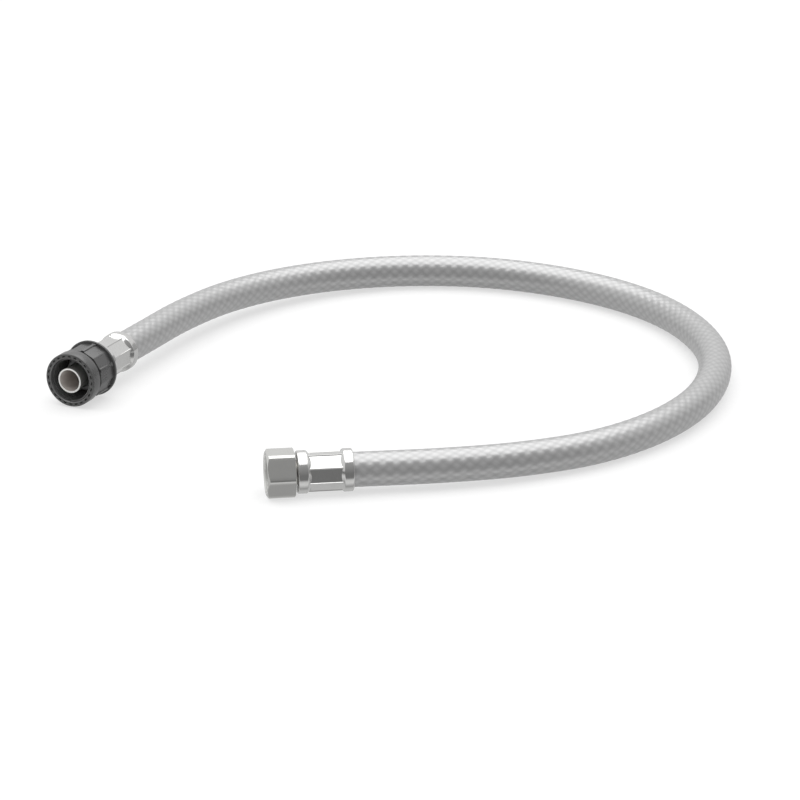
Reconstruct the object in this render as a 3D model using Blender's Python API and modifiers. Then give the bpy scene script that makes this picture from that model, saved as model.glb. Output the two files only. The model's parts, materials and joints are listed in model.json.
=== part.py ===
"""Flexible connector hose, lying in an open loop on the floor.

A braided hose carries a barbed stem, a crimped ferrule and a union nut at each end. The front nut
is a plated hexagon with a flat gasket. The rear nut is a moulded hand nut round a tube end.

Each fitting is modelled along its own Z axis, from the joint face at Z = 0 towards the hose, and
stands on an empty that lays it down. All lengths are in metres.
"""

import math

import bmesh
import bpy
from mathutils import Matrix, Vector

MM = 0.001

# Running and seating clearances
GAP = 0.3 * MM

# Hose
HOSE_OD = 15.0 * MM
HOSE_BORE_D = 10.0 * MM
HOSE_CRIMPED_OD = 13.6 * MM
ROUTE_STEP = 2 * HOSE_OD

# Ferrule, the same pressing at both ends
FERRULE_LENGTH = 23.9 * MM
FERRULE_WALL = 0.6 * MM
FERRULE_BEAD_D = 18.3 * MM
FRONT_BEAD_LENGTH = 4.2 * MM
REAR_BEAD_LENGTH = 4.0 * MM
BEAD_ROUND = 0.8 * MM
RUN_OUT_ANGLE = math.radians(35)
JAW_COUNT = 8
JAW_ROUND = 0.5 * MM
FRONT_FERRULE_TURN = math.radians(-4.5)

# Tail of both stems, inside the ferrule
NECK_D = 11.2 * MM
GROOVE_D = 10.0 * MM
LAND_LENGTH = 1.2 * MM
BARB_COUNT = 4
BARB_PITCH = 4.2 * MM
BARB_HEIGHT = 0.5 * MM
BARB_RISE_LENGTH = 1.2 * MM
BARB_CREST_LENGTH = 0.4 * MM
TAIL_BORE_D = 6.8 * MM

# Front hexagonal union nut, for a G3/8 male thread
HEX_AF = 19.0 * MM
HEX_LENGTH = 12.1 * MM
HEX_BACK_WALL = 2.6 * MM
HEX_THREAD_D = 15.0 * MM
HEX_EDGE_ROUND = 0.9 * MM
HEX_FACE_D = 18.6 * MM
HEX_BACK_D = 20.4 * MM
HEX_CHAMFER_ANGLE = math.radians(35)
FRONT_FLANGE_THICKNESS = 2.2 * MM
GASKET_THICKNESS = 2.0 * MM
GASKET_BORE_D = 9.0 * MM
FRONT_NUT_TO_FERRULE = 0.8 * MM

# Rear moulded hand nut, for a G1/2 male thread
DRUM_LENGTH = 20.0 * MM
DRUM_BACK_WALL = 2.6 * MM
DRUM_THREAD_D = 18.6 * MM
FRONT_COLLAR_D = 24.6 * MM
FRONT_COLLAR_LENGTH = 5.8 * MM
COLLAR_ROUND = 0.8 * MM
REAR_COLLAR_D = 25.5 * MM
REAR_COLLAR_LENGTH = 1.3 * MM
DRUM_FLATS = 12
DRUM_AF = 22.9 * MM
RIB_COUNT = 6
RIB_WIDTH = 1.1 * MM
RIB_D = 24.7 * MM
DRUM_TURN = math.radians(-4)
FACE_GROOVE_D = 22.2 * MM
FACE_GROOVE_WIDTH = 0.5 * MM
FACE_GROOVE_DEPTH = 0.5 * MM

# Rear stem and its seal
TUBE_OD = 11.4 * MM
TUBE_WALL = 0.75 * MM
TUBE_PROUD = 0.5 * MM
REAR_FLANGE_THICKNESS = 2.2 * MM
SEAL_THICKNESS = 3.4 * MM
SEAL_NOSE_D = 15.0 * MM
SEAL_CONE_LENGTH = 2.0 * MM
REAR_NUT_TO_FERRULE = 2.3 * MM

# Where the fittings lie: the centre of each joint face, and the way from it to the hose
FRONT_FACE_XY = (24.0 * MM, -77.0 * MM)
FRONT_HEADING = 0.0
REAR_FACE_XY = (-50.5 * MM, 43.7 * MM)
REAR_HEADING = math.radians(56.2)

# Route of the hose between the fittings, chosen by hand: X, Y and the height that it is lifted
# off the floor, in millimetres
HOSE_ROUTE = [
    (76.0, -77.0, 1.9),
    (99.5, -76.5, 1.7),
    (134.0, -71.5, 1.0),
    (167.0, -60.0, 0.3),
    (196.0, -40.5, 0.1),
    (219.5, -14.0, 0.1),
    (235.5, 17.5, 0.1),
    (243.5, 51.5, 0.1),
    (242.5, 86.5, 0.1),
    (233.0, 120.0, 0.1),
    (215.0, 149.5, 0.1),
    (189.0, 174.0, 0.1),
    (158.5, 190.5, 0.1),
    (124.5, 197.5, 0.2),
    (90.5, 193.0, 1.1),
    (58.5, 179.0, 2.4),
    (31.0, 157.5, 3.8),
    (8.0, 130.5, 4.8),
    (-11.0, 102.5, 5.2),
]

# Faceting
TURNED_STEPS = 48
STEM_STEPS = 24
HOSE_BEVEL_STEPS = 4
ROUTE_SAMPLES = 24
EDGE_PIECES = 3
OVERCUT = 1.0 * MM
MERGE_DISTANCE = 0.001 * MM
SHARP_ANGLE = math.radians(28)

# Sizes that follow from the ones above
HOSE_R = HOSE_OD / 2
HOSE_BORE_R = HOSE_BORE_D / 2
HOSE_CRIMPED_R = HOSE_CRIMPED_OD / 2
BEAD_R = FERRULE_BEAD_D / 2
NECK_R = NECK_D / 2
GROOVE_R = GROOVE_D / 2
BARB_R = HOSE_BORE_R - GAP
TAIL_BORE_R = TAIL_BORE_D / 2
TUBE_R = TUBE_OD / 2
CRIMP_INNER_APOTHEM = HOSE_CRIMPED_R + GAP
CRIMP_APOTHEM = CRIMP_INNER_APOTHEM + FERRULE_WALL
FRONT_FERRULE_AT = HEX_LENGTH + FRONT_NUT_TO_FERRULE
DRUM_AT = TUBE_PROUD
REAR_FERRULE_AT = DRUM_AT + DRUM_LENGTH + REAR_NUT_TO_FERRULE
LAND_AT = FERRULE_WALL + GAP
HOSE_END_AT = LAND_AT + LAND_LENGTH + GAP


def clear_scene():
    """Remove every object that the file starts with."""
    for obj in list(bpy.data.objects):
        bpy.data.objects.remove(obj, do_unlink=True)


def collection(name):
    """Make a collection in the scene."""
    made = bpy.data.collections.new(name)
    bpy.context.scene.collection.children.link(made)
    return made


def material(name, colour, roughness, metallic):
    """Make a plain Principled material."""
    made = bpy.data.materials.new(name)
    made.use_nodes = True
    shader = made.node_tree.nodes["Principled BSDF"]
    shader.inputs["Base Color"].default_value = (*colour, 1.0)
    shader.inputs["Roughness"].default_value = roughness
    shader.inputs["Metallic"].default_value = metallic
    made.diffuse_color = (*colour, 1.0)
    return made


def evaluated_mesh(obj):
    """Give the mesh that an object's modifiers or bevel make of it."""
    graph = bpy.context.evaluated_depsgraph_get()
    graph.update()
    return bpy.data.meshes.new_from_object(obj.evaluated_get(graph))


def add_mesh(name, mesh, group):
    """Put a mesh in the scene as an object."""
    obj = bpy.data.objects.new(name, mesh)
    group.objects.link(obj)
    return obj


def turned(name, outline, group, steps=TURNED_STEPS):
    """Turn an outline of (radius, height) points round Z.

    The outline runs up the outside from the joint face towards the hose. It ends on the axis,
    or comes back down the bore to where it began.
    """
    closed = outline[0][0] > 0
    mesh = bpy.data.meshes.new(name)
    points = [(radius, 0.0, height) for radius, height in reversed(outline)]
    edges = [(i, i + 1) for i in range(len(points) - 1)]
    if closed:
        edges.append((len(points) - 1, 0))
    mesh.from_pydata(points, edges, [])
    obj = add_mesh(name, mesh, group)
    screw = obj.modifiers.new("turn", "SCREW")
    screw.axis = "Z"
    screw.angle = math.tau
    screw.steps = steps
    screw.render_steps = steps
    screw.use_merge_vertices = True
    screw.merge_threshold = MERGE_DISTANCE
    obj.data = evaluated_mesh(obj)
    obj.modifiers.clear()
    return obj


def prism(name, sides, apothem, low, high, group):
    """Make an upright prism whose first flat faces +X."""
    mesh = bpy.data.meshes.new(name)
    shape = bmesh.new()
    radius = apothem / math.cos(math.pi / sides)
    # A new cone's first corner is at +Y
    turn = math.pi / sides - math.pi / 2
    place = Matrix.Translation((0, 0, (low + high) / 2)) @ Matrix.Rotation(turn, 4, "Z")
    bmesh.ops.create_cone(
        shape, cap_ends=True, segments=sides, radius1=radius, radius2=radius,
        depth=high - low, matrix=place,
    )
    shape.to_mesh(mesh)
    shape.free()
    return add_mesh(name, mesh, group)


def bar(name, width, length, low, high, turn, group):
    """Make an upright bar through the axis, its length turned from +X."""
    mesh = bpy.data.meshes.new(name)
    shape = bmesh.new()
    place = Matrix.Translation((0, 0, (low + high) / 2)) @ Matrix.Rotation(turn, 4, "Z")
    size = Matrix.Diagonal((length, width, high - low, 1.0))
    bmesh.ops.create_cube(shape, size=1.0, matrix=place @ size)
    shape.to_mesh(mesh)
    shape.free()
    return add_mesh(name, mesh, group)


def round_upright_edges(obj, width):
    """Round the edges of a prism that run along Z."""
    shape = bmesh.new()
    shape.from_mesh(obj.data)
    upright = [
        edge for edge in shape.edges
        if (edge.verts[0].co - edge.verts[1].co).to_2d().length < MERGE_DISTANCE
    ]
    bmesh.ops.bevel(
        shape, geom=upright, offset=width, segments=EDGE_PIECES, profile=0.5, affect="EDGES"
    )
    shape.to_mesh(obj.data)
    shape.free()


def boolean(target, other, operation="DIFFERENCE"):
    """Cut or join another object into the target, and keep the result as the target's mesh."""
    modifier = target.modifiers.new(operation.lower(), "BOOLEAN")
    modifier.operation = operation
    modifier.solver = "EXACT"
    modifier.object = other
    target.data = evaluated_mesh(target)
    target.modifiers.clear()
    other.hide_render = True
    other.display_type = "WIRE"


def dress(obj, finish):
    """Give an object its material and smooth shading with crisp edges."""
    obj.data.materials.clear()
    obj.data.materials.append(finish)
    obj.data.shade_smooth()
    obj.data.set_sharp_from_angle(angle=SHARP_ANGLE)


def rounded_rim(radius, low, high, low_round, high_round):
    """Outline of a collar from its lower face to its upper face, with rounded rims."""
    points = []
    for step in range(EDGE_PIECES + 1):
        angle = math.pi / 2 * step / EDGE_PIECES
        points.append((
            radius - low_round * (1 - math.sin(angle)),
            low + low_round * (1 - math.cos(angle)),
        ))
    for step in range(EDGE_PIECES + 1):
        angle = math.pi / 2 * step / EDGE_PIECES
        points.append((
            radius - high_round * (1 - math.cos(angle)),
            high - high_round * (1 - math.sin(angle)),
        ))
    return points


def ferrule_mesh(group, cutters):
    """Sleeve with a bead at each end, pressed to eight flats that run out to the beads."""
    bead_inner = BEAD_R - FERRULE_WALL
    middle_low = FRONT_BEAD_LENGTH
    middle_high = FERRULE_LENGTH - REAR_BEAD_LENGTH
    front_bead = rounded_rim(BEAD_R, 0.0, middle_low, BEAD_ROUND, BEAD_ROUND / 2)
    rear_bead = rounded_rim(BEAD_R, middle_high, FERRULE_LENGTH, BEAD_ROUND / 2, BEAD_ROUND)
    blank = turned(
        "ferrule", [(0.0, 0.0)] + front_bead + rear_bead + [(0.0, FERRULE_LENGTH)], group
    )
    jaws = prism(
        "ferrule_jaws", TURNED_STEPS, BEAD_R + OVERCUT, middle_low, middle_high, cutters
    )
    flats = prism(
        "ferrule_jaw_flats", JAW_COUNT, CRIMP_APOTHEM,
        middle_low - OVERCUT, middle_high + OVERCUT, cutters,
    )
    round_upright_edges(flats, JAW_ROUND)
    boolean(jaws, flats)
    run_out = (bead_inner - HOSE_CRIMPED_R) / math.tan(RUN_OUT_ANGLE)
    run_outs = turned(
        "ferrule_run_outs",
        [
            (0.0, middle_low - OVERCUT), (bead_inner, middle_low - OVERCUT),
            (bead_inner, middle_low), (HOSE_CRIMPED_R, middle_low + run_out),
            (HOSE_CRIMPED_R, middle_high - run_out), (bead_inner, middle_high),
            (bead_inner, middle_high + OVERCUT), (0.0, middle_high + OVERCUT),
        ],
        cutters,
    )
    boolean(jaws, run_outs)
    boolean(blank, jaws)

    inner_low = middle_low - FERRULE_WALL
    inner_high = middle_high + FERRULE_WALL
    mouth = FERRULE_LENGTH - FERRULE_WALL
    lip_r = GROOVE_R + GAP
    mouth_r = HOSE_R + GAP
    core_r = HOSE_CRIMPED_R
    bore = turned(
        "ferrule_bore",
        [
            (0.0, -OVERCUT), (lip_r, -OVERCUT), (lip_r, FERRULE_WALL),
            (bead_inner, FERRULE_WALL), (bead_inner, inner_low), (core_r, inner_low),
            (core_r, inner_high), (bead_inner, inner_high), (bead_inner, mouth),
            (mouth_r, mouth), (mouth_r, FERRULE_LENGTH + OVERCUT),
            (0.0, FERRULE_LENGTH + OVERCUT),
        ],
        cutters,
    )
    crimp = prism(
        "ferrule_crimp", JAW_COUNT, CRIMP_INNER_APOTHEM,
        inner_low - FERRULE_WALL, inner_high + FERRULE_WALL, cutters,
    )
    boolean(blank, bore)
    boolean(blank, crimp)
    return blank


def tail_outline(ferrule_at, neck_r):
    """Outline of a stem from its neck to the end of its barbs, for a ferrule at this height."""
    land_at = ferrule_at + LAND_AT
    barbs_at = land_at + LAND_LENGTH
    points = [
        (neck_r, ferrule_at - GAP), (GROOVE_R, ferrule_at - GAP), (GROOVE_R, land_at),
        (NECK_R, land_at), (NECK_R, barbs_at),
    ]
    root = BARB_R - BARB_HEIGHT
    for index in range(BARB_COUNT):
        start = barbs_at + index * BARB_PITCH
        crest = start + BARB_RISE_LENGTH
        points += [(root, start), (BARB_R, crest), (BARB_R, crest + BARB_CREST_LENGTH)]
    points.append((root, barbs_at + BARB_COUNT * BARB_PITCH))
    return points


def build_front(group, cutters, empty, finishes):
    """Hexagonal union nut, stem and gasket."""
    thread_r = HEX_THREAD_D / 2
    face_r = HEX_FACE_D / 2
    back_r = HEX_BACK_D / 2
    socket_end = HEX_LENGTH - HEX_BACK_WALL
    hole_r = NECK_R + GAP

    nut = prism("front_union_nut", 6, HEX_AF / 2, 0.0, HEX_LENGTH, group)
    round_upright_edges(nut, HEX_EDGE_ROUND)
    rim_r = HEX_AF / 2 / math.cos(math.pi / 6) + OVERCUT
    slope = math.tan(HEX_CHAMFER_ANGLE)
    envelope = turned(
        "front_nut_envelope",
        [
            (0.0, 0.0), (face_r, 0.0), (rim_r, (rim_r - face_r) * slope),
            (rim_r, HEX_LENGTH - (rim_r - back_r) * slope), (back_r, HEX_LENGTH),
            (0.0, HEX_LENGTH),
        ],
        cutters,
    )
    boolean(nut, envelope, "INTERSECT")
    socket = turned(
        "front_nut_socket",
        [
            (0.0, -OVERCUT), (thread_r + 2 * OVERCUT, -OVERCUT), (thread_r, OVERCUT),
            (thread_r, socket_end), (hole_r, socket_end), (hole_r, HEX_LENGTH + OVERCUT),
            (0.0, HEX_LENGTH + OVERCUT),
        ],
        cutters,
    )
    boolean(nut, socket)

    flange_r = thread_r - GAP
    flange_back = socket_end - GAP
    flange_front = flange_back - FRONT_FLANGE_THICKNESS
    tail = tail_outline(FRONT_FERRULE_AT, NECK_R)
    stem = turned(
        "front_stem",
        [(flange_r, flange_front), (flange_r, flange_back), (NECK_R, flange_back)]
        + tail + [(TAIL_BORE_R, tail[-1][1]), (TAIL_BORE_R, flange_front)],
        group, STEM_STEPS,
    )

    gasket_back = flange_front - GAP
    gasket_front = gasket_back - GASKET_THICKNESS
    gasket = turned(
        "front_gasket",
        [
            (flange_r, gasket_front), (flange_r, gasket_back),
            (GASKET_BORE_D / 2, gasket_back), (GASKET_BORE_D / 2, gasket_front),
        ],
        group, STEM_STEPS,
    )
    dress(nut, finishes["nickel"])
    dress(stem, finishes["brass"])
    dress(gasket, finishes["seal"])
    for obj in (nut, stem, gasket):
        obj.parent = empty


def build_rear(group, cutters, empty, finishes):
    """Moulded hand nut, stem with its tube end, and seal."""
    thread_r = DRUM_THREAD_D / 2
    hole_r = TUBE_R + GAP
    drum_end = DRUM_AT + DRUM_LENGTH
    socket_end = drum_end - DRUM_BACK_WALL
    collar_end = DRUM_AT + FRONT_COLLAR_LENGTH
    rear_collar_at = drum_end - REAR_COLLAR_LENGTH
    groove_in = FACE_GROOVE_D / 2 - FACE_GROOVE_WIDTH / 2
    groove_out = FACE_GROOVE_D / 2 + FACE_GROOVE_WIDTH / 2
    groove_floor = DRUM_AT + FACE_GROOVE_DEPTH

    front_collar = rounded_rim(
        FRONT_COLLAR_D / 2, DRUM_AT, collar_end, COLLAR_ROUND, GAP
    )
    rear_collar = rounded_rim(REAR_COLLAR_D / 2, rear_collar_at, drum_end, GAP, 2 * GAP)
    nut = turned(
        "rear_union_nut",
        [
            (0.0, DRUM_AT), (groove_in, DRUM_AT), (groove_in, groove_floor),
            (groove_out, groove_floor), (groove_out, DRUM_AT),
        ]
        + front_collar + [(RIB_D / 2, collar_end), (RIB_D / 2, rear_collar_at)]
        + rear_collar + [(0.0, drum_end)],
        group,
    )
    ring = prism(
        "drum_cut", TURNED_STEPS, REAR_COLLAR_D / 2 + OVERCUT, collar_end, rear_collar_at, cutters
    )
    low = collar_end - OVERCUT
    high = rear_collar_at + OVERCUT
    flats = prism("drum_flats", DRUM_FLATS, DRUM_AF / 2, low, high, cutters)
    boolean(ring, flats)
    for index in range(RIB_COUNT // 2):
        turn = math.pi / DRUM_FLATS + index * math.tau / RIB_COUNT
        rib = bar(f"drum_rib_{index + 1}", RIB_WIDTH, 2 * RIB_D, low, high, turn, cutters)
        boolean(ring, rib)
    boolean(nut, ring)
    socket = turned(
        "rear_nut_socket",
        [
            (0.0, DRUM_AT - OVERCUT), (thread_r + 2 * OVERCUT, DRUM_AT - OVERCUT),
            (thread_r, DRUM_AT + OVERCUT), (thread_r, socket_end), (hole_r, socket_end),
            (hole_r, drum_end + OVERCUT), (0.0, drum_end + OVERCUT),
        ],
        cutters,
    )
    boolean(nut, socket)

    flange_r = thread_r - GAP
    flange_back = socket_end - GAP
    flange_front = flange_back - REAR_FLANGE_THICKNESS
    tube_bore_r = TUBE_R - TUBE_WALL
    tail = tail_outline(REAR_FERRULE_AT, TUBE_R)
    stem = turned(
        "rear_stem",
        [
            (TUBE_R, 0.0), (TUBE_R, flange_front), (flange_r, flange_front),
            (flange_r, flange_back), (TUBE_R, flange_back),
        ]
        + tail
        + [
            (TAIL_BORE_R, tail[-1][1]), (TAIL_BORE_R, flange_back),
            (tube_bore_r, flange_front), (tube_bore_r, 0.0),
        ],
        group, STEM_STEPS,
    )

    seal_back = flange_front - GAP
    seal_front = seal_back - SEAL_THICKNESS
    seal_r = flange_r - GAP
    seal = turned(
        "rear_seal",
        [
            (SEAL_NOSE_D / 2, seal_front), (seal_r, seal_front + SEAL_CONE_LENGTH),
            (seal_r, seal_back), (hole_r, seal_back), (hole_r, seal_front),
        ],
        group, STEM_STEPS,
    )
    dress(nut, finishes["black plastic"])
    dress(stem, finishes["steel"])
    dress(seal, finishes["seal"])
    for obj in (nut, stem, seal):
        obj.parent = empty
    nut.rotation_euler.z = DRUM_TURN


def on_axis(empty, height):
    """World place of a point on a fitting's axis."""
    return empty.matrix_world @ Vector((0.0, 0.0, height))


def smooth_through(points, spacing):
    """Points at equal spacing on a smooth curve through the given ones, without its end knots.

    The first and last given points only set the way that the curve leaves its ends.
    """
    dense = []
    for before, start, end, after in zip(points, points[1:], points[2:], points[3:]):
        k1 = (start - before).length ** 0.5
        k2 = (end - start).length ** 0.5
        k3 = (after - end).length ** 0.5
        leave = (start - before) / k1 - (end - before) / (k1 + k2) + (end - start) / k2
        arrive = (end - start) / k2 - (after - start) / (k2 + k3) + (after - end) / k3
        leave *= k2
        arrive *= k2
        for step in range(ROUTE_SAMPLES):
            t = step / ROUTE_SAMPLES
            dense.append(
                start * (2 * t ** 3 - 3 * t ** 2 + 1) + leave * (t ** 3 - 2 * t ** 2 + t)
                + end * (3 * t ** 2 - 2 * t ** 3) + arrive * (t ** 3 - t ** 2)
            )
    dense.append(points[-2])
    along = [0.0]
    for start, end in zip(dense, dense[1:]):
        along.append(along[-1] + (end - start).length)
    pieces = round(along[-1] / spacing)
    spaced = []
    index = 0
    for piece in range(pieces + 1):
        wanted = along[-1] * piece / pieces
        while index < len(along) - 2 and along[index + 1] < wanted:
            index += 1
        share = (wanted - along[index]) / (along[index + 1] - along[index])
        spaced.append(dense[index].lerp(dense[index + 1], share))
    return spaced


def tube(name, points, radius, scales, group):
    """Closed round tube along the points, as a mesh. Scales widen or narrow it at each point."""
    curve = bpy.data.curves.new(name, "CURVE")
    curve.dimensions = "3D"
    curve.bevel_depth = radius
    curve.bevel_resolution = HOSE_BEVEL_STEPS
    curve.use_fill_caps = True
    spline = curve.splines.new("POLY")
    spline.points.add(len(points) - 1)
    for place, point, scale in zip(spline.points, points, scales):
        place.co = (*point, 1.0)
        place.radius = scale
    guide = bpy.data.objects.new(name, curve)
    group.objects.link(guide)
    mesh = evaluated_mesh(guide)
    shape = bmesh.new()
    shape.from_mesh(mesh)
    bmesh.ops.remove_doubles(shape, verts=shape.verts, dist=MERGE_DISTANCE)
    shape.to_mesh(mesh)
    shape.free()
    place = guide.matrix_world.copy()
    bpy.data.objects.remove(guide, do_unlink=True)
    bpy.data.curves.remove(curve)
    obj = add_mesh(name, mesh, group)
    obj.matrix_world = place
    return obj


def build_hose(group, cutters, front, rear, finish):
    """Hose along its route, squeezed inside each ferrule, with its bore right through."""
    swell_at = FERRULE_LENGTH - REAR_BEAD_LENGTH + FERRULE_WALL
    mouth_at = FERRULE_LENGTH - FERRULE_WALL - GAP
    squeezed = HOSE_CRIMPED_R / HOSE_R

    front_ends = [on_axis(front, FRONT_FERRULE_AT + z) for z in (HOSE_END_AT, swell_at, mouth_at)]
    rear_ends = [on_axis(rear, REAR_FERRULE_AT + z) for z in (mouth_at, swell_at, HOSE_END_AT)]
    free = [Vector((x * MM, y * MM, HOSE_R + lift * MM)) for x, y, lift in HOSE_ROUTE]
    middle = smooth_through(
        [front_ends[0], front_ends[2], *free, rear_ends[0], rear_ends[2]], ROUTE_STEP
    )
    points = front_ends[:2] + middle + rear_ends[1:]
    scales = [squeezed] * 2 + [1.0] * len(middle) + [squeezed] * 2

    hose = tube("hose", points, HOSE_R, scales, group)
    first = points[0] - (points[1] - points[0]).normalized() * OVERCUT
    last = points[-1] + (points[-1] - points[-2]).normalized() * OVERCUT
    bore_points = [first] + points[1:-1] + [last]
    bore = tube("hose_bore", bore_points, HOSE_BORE_R, [1.0] * len(points), cutters)
    boolean(hose, bore)
    dress(hose, finish)


def fitting_empty(name, face_xy, height, heading, group):
    """Empty at the centre of a joint face, its Z axis lying along the heading."""
    empty = bpy.data.objects.new(name, None)
    empty.empty_display_size = HOSE_OD
    empty.location = (*face_xy, height)
    empty.rotation_euler = (0.0, math.pi / 2, heading)
    group.objects.link(empty)
    bpy.context.view_layer.update()
    return empty


def main():
    """Build the hose with its two fittings."""
    clear_scene()
    group = collection("flexible_connector_hose")
    cutters = collection("cutters")
    finishes = {
        "nickel": material("nickel plate", (0.72, 0.71, 0.69), 0.22, 1.0),
        "steel": material("stainless steel", (0.70, 0.70, 0.69), 0.25, 1.0),
        "brass": material("plated brass", (0.66, 0.62, 0.52), 0.35, 1.0),
        "black plastic": material("black plastic", (0.035, 0.036, 0.038), 0.38, 0.0),
        "seal": material("grey rubber", (0.16, 0.16, 0.16), 0.70, 0.0),
        "hose": material("braided hose", (0.52, 0.53, 0.54), 0.35, 0.2),
    }
    front = fitting_empty("front_fitting", FRONT_FACE_XY, HEX_AF / 2, FRONT_HEADING, group)
    rear = fitting_empty("rear_fitting", REAR_FACE_XY, REAR_COLLAR_D / 2, REAR_HEADING, group)

    build_front(group, cutters, front, finishes)
    build_rear(group, cutters, rear, finishes)

    front_ferrule = ferrule_mesh(group, cutters)
    front_ferrule.name = "front_ferrule"
    front_ferrule.parent = front
    front_ferrule.location = (0.0, 0.0, FRONT_FERRULE_AT)
    front_ferrule.rotation_euler.z = FRONT_FERRULE_TURN
    dress(front_ferrule, finishes["steel"])
    rear_ferrule = add_mesh("rear_ferrule", front_ferrule.data, group)
    rear_ferrule.parent = rear
    rear_ferrule.location = (0.0, 0.0, REAR_FERRULE_AT)

    build_hose(group, cutters, front, rear, finishes["hose"])


main()
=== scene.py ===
"""Looks of a flexible connector hose that lies in an open loop on a pale floor.

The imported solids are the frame. A braided tube stands for the hose, and smooth turned and pressed
pieces with real threads stand for the fittings. All lengths are in metres.
"""

import json
import logging
import math
from dataclasses import dataclass, field
from enum import Enum
from typing import Callable, Sequence

import bmesh
import bpy
from mathutils import Matrix, Vector


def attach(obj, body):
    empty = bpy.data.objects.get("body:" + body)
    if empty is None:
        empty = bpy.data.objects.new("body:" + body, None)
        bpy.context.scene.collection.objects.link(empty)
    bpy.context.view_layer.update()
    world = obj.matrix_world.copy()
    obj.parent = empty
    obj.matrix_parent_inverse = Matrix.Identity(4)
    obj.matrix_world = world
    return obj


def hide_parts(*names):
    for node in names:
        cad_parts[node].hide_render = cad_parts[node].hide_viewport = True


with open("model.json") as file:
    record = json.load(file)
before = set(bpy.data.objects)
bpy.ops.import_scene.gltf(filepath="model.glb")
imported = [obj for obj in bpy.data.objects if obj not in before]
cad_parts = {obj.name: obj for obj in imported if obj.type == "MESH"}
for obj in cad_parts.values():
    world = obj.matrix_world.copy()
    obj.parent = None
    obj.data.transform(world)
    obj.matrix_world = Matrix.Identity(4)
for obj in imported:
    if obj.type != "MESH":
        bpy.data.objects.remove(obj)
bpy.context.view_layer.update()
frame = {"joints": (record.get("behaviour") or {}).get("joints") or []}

LOG = logging.getLogger("connector_hose")
MM = 0.001
SHARP_ANGLE = math.radians(32)
TURNED_STEPS = 128
MERGE_DISTANCE = 1e-7

Point = tuple[float, float]
Corner = tuple[float, float, float]
Colour = tuple[float, float, float]
Sockets = dict[str, bpy.types.NodeSocket]

# Route of the hose between the fittings, the same as in the part's source: X, Y and the height
# that it is lifted off the floor, in millimetres
HOSE_ROUTE = [
    (76.0, -77.0, 1.9),
    (99.5, -76.5, 1.7),
    (134.0, -71.5, 1.0),
    (167.0, -60.0, 0.3),
    (196.0, -40.5, 0.1),
    (219.5, -14.0, 0.1),
    (235.5, 17.5, 0.1),
    (243.5, 51.5, 0.1),
    (242.5, 86.5, 0.1),
    (233.0, 120.0, 0.1),
    (215.0, 149.5, 0.1),
    (189.0, 174.0, 0.1),
    (158.5, 190.5, 0.1),
    (124.5, 197.5, 0.2),
    (90.5, 193.0, 1.1),
    (58.5, 179.0, 2.4),
    (31.0, 157.5, 3.8),
    (8.0, 130.5, 4.8),
    (-11.0, 102.5, 5.2),
]


class Slot(Enum):
    """Material slots of the record."""

    HOSE = "braided_hose"
    NICKEL = "nickel_plate"
    BRASS = "plated_brass"
    FERRULE = "ferrule_steel"
    TUBE = "tube_steel"
    PLASTIC = "black_plastic"
    SEAL = "seal_rubber"


class Body(Enum):
    """CAD bodies that the pieces ride on."""

    HOSE = "hose_with_ends"
    FRONT_NUT = "front_nut"
    REAR_NUT = "rear_nut"


@dataclass(frozen=True)
class Place:
    """Where a fitting lies: its joint face's centre and the way from there to the hose."""

    face: Vector
    heading: float

    @classmethod
    def of_joint(cls, name: str) -> "Place":
        """Read a union nut's place from its joint in the frame.

        Args:
            name: the joint's name.
        Returns:
            The place of the fitting that the nut belongs to.
        """
        joint = next(row for row in frame["joints"] if row["name"] == name)
        return cls(Vector(joint["pos_m"]), math.atan2(joint["axis"][1], joint["axis"][0]))

    def matrix(self) -> Matrix:
        """Turn and shift from the fitting's own axes, Z towards the hose and X down."""
        turn = Matrix.Rotation(self.heading, 4, "Z") @ Matrix.Rotation(math.pi / 2, 4, "Y")
        return Matrix.Translation(self.face) @ turn

    def on_axis(self, height: float) -> Vector:
        """Point on the fitting's axis at this distance from its joint face."""
        return self.matrix() @ Vector((0.0, 0.0, height))


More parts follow.
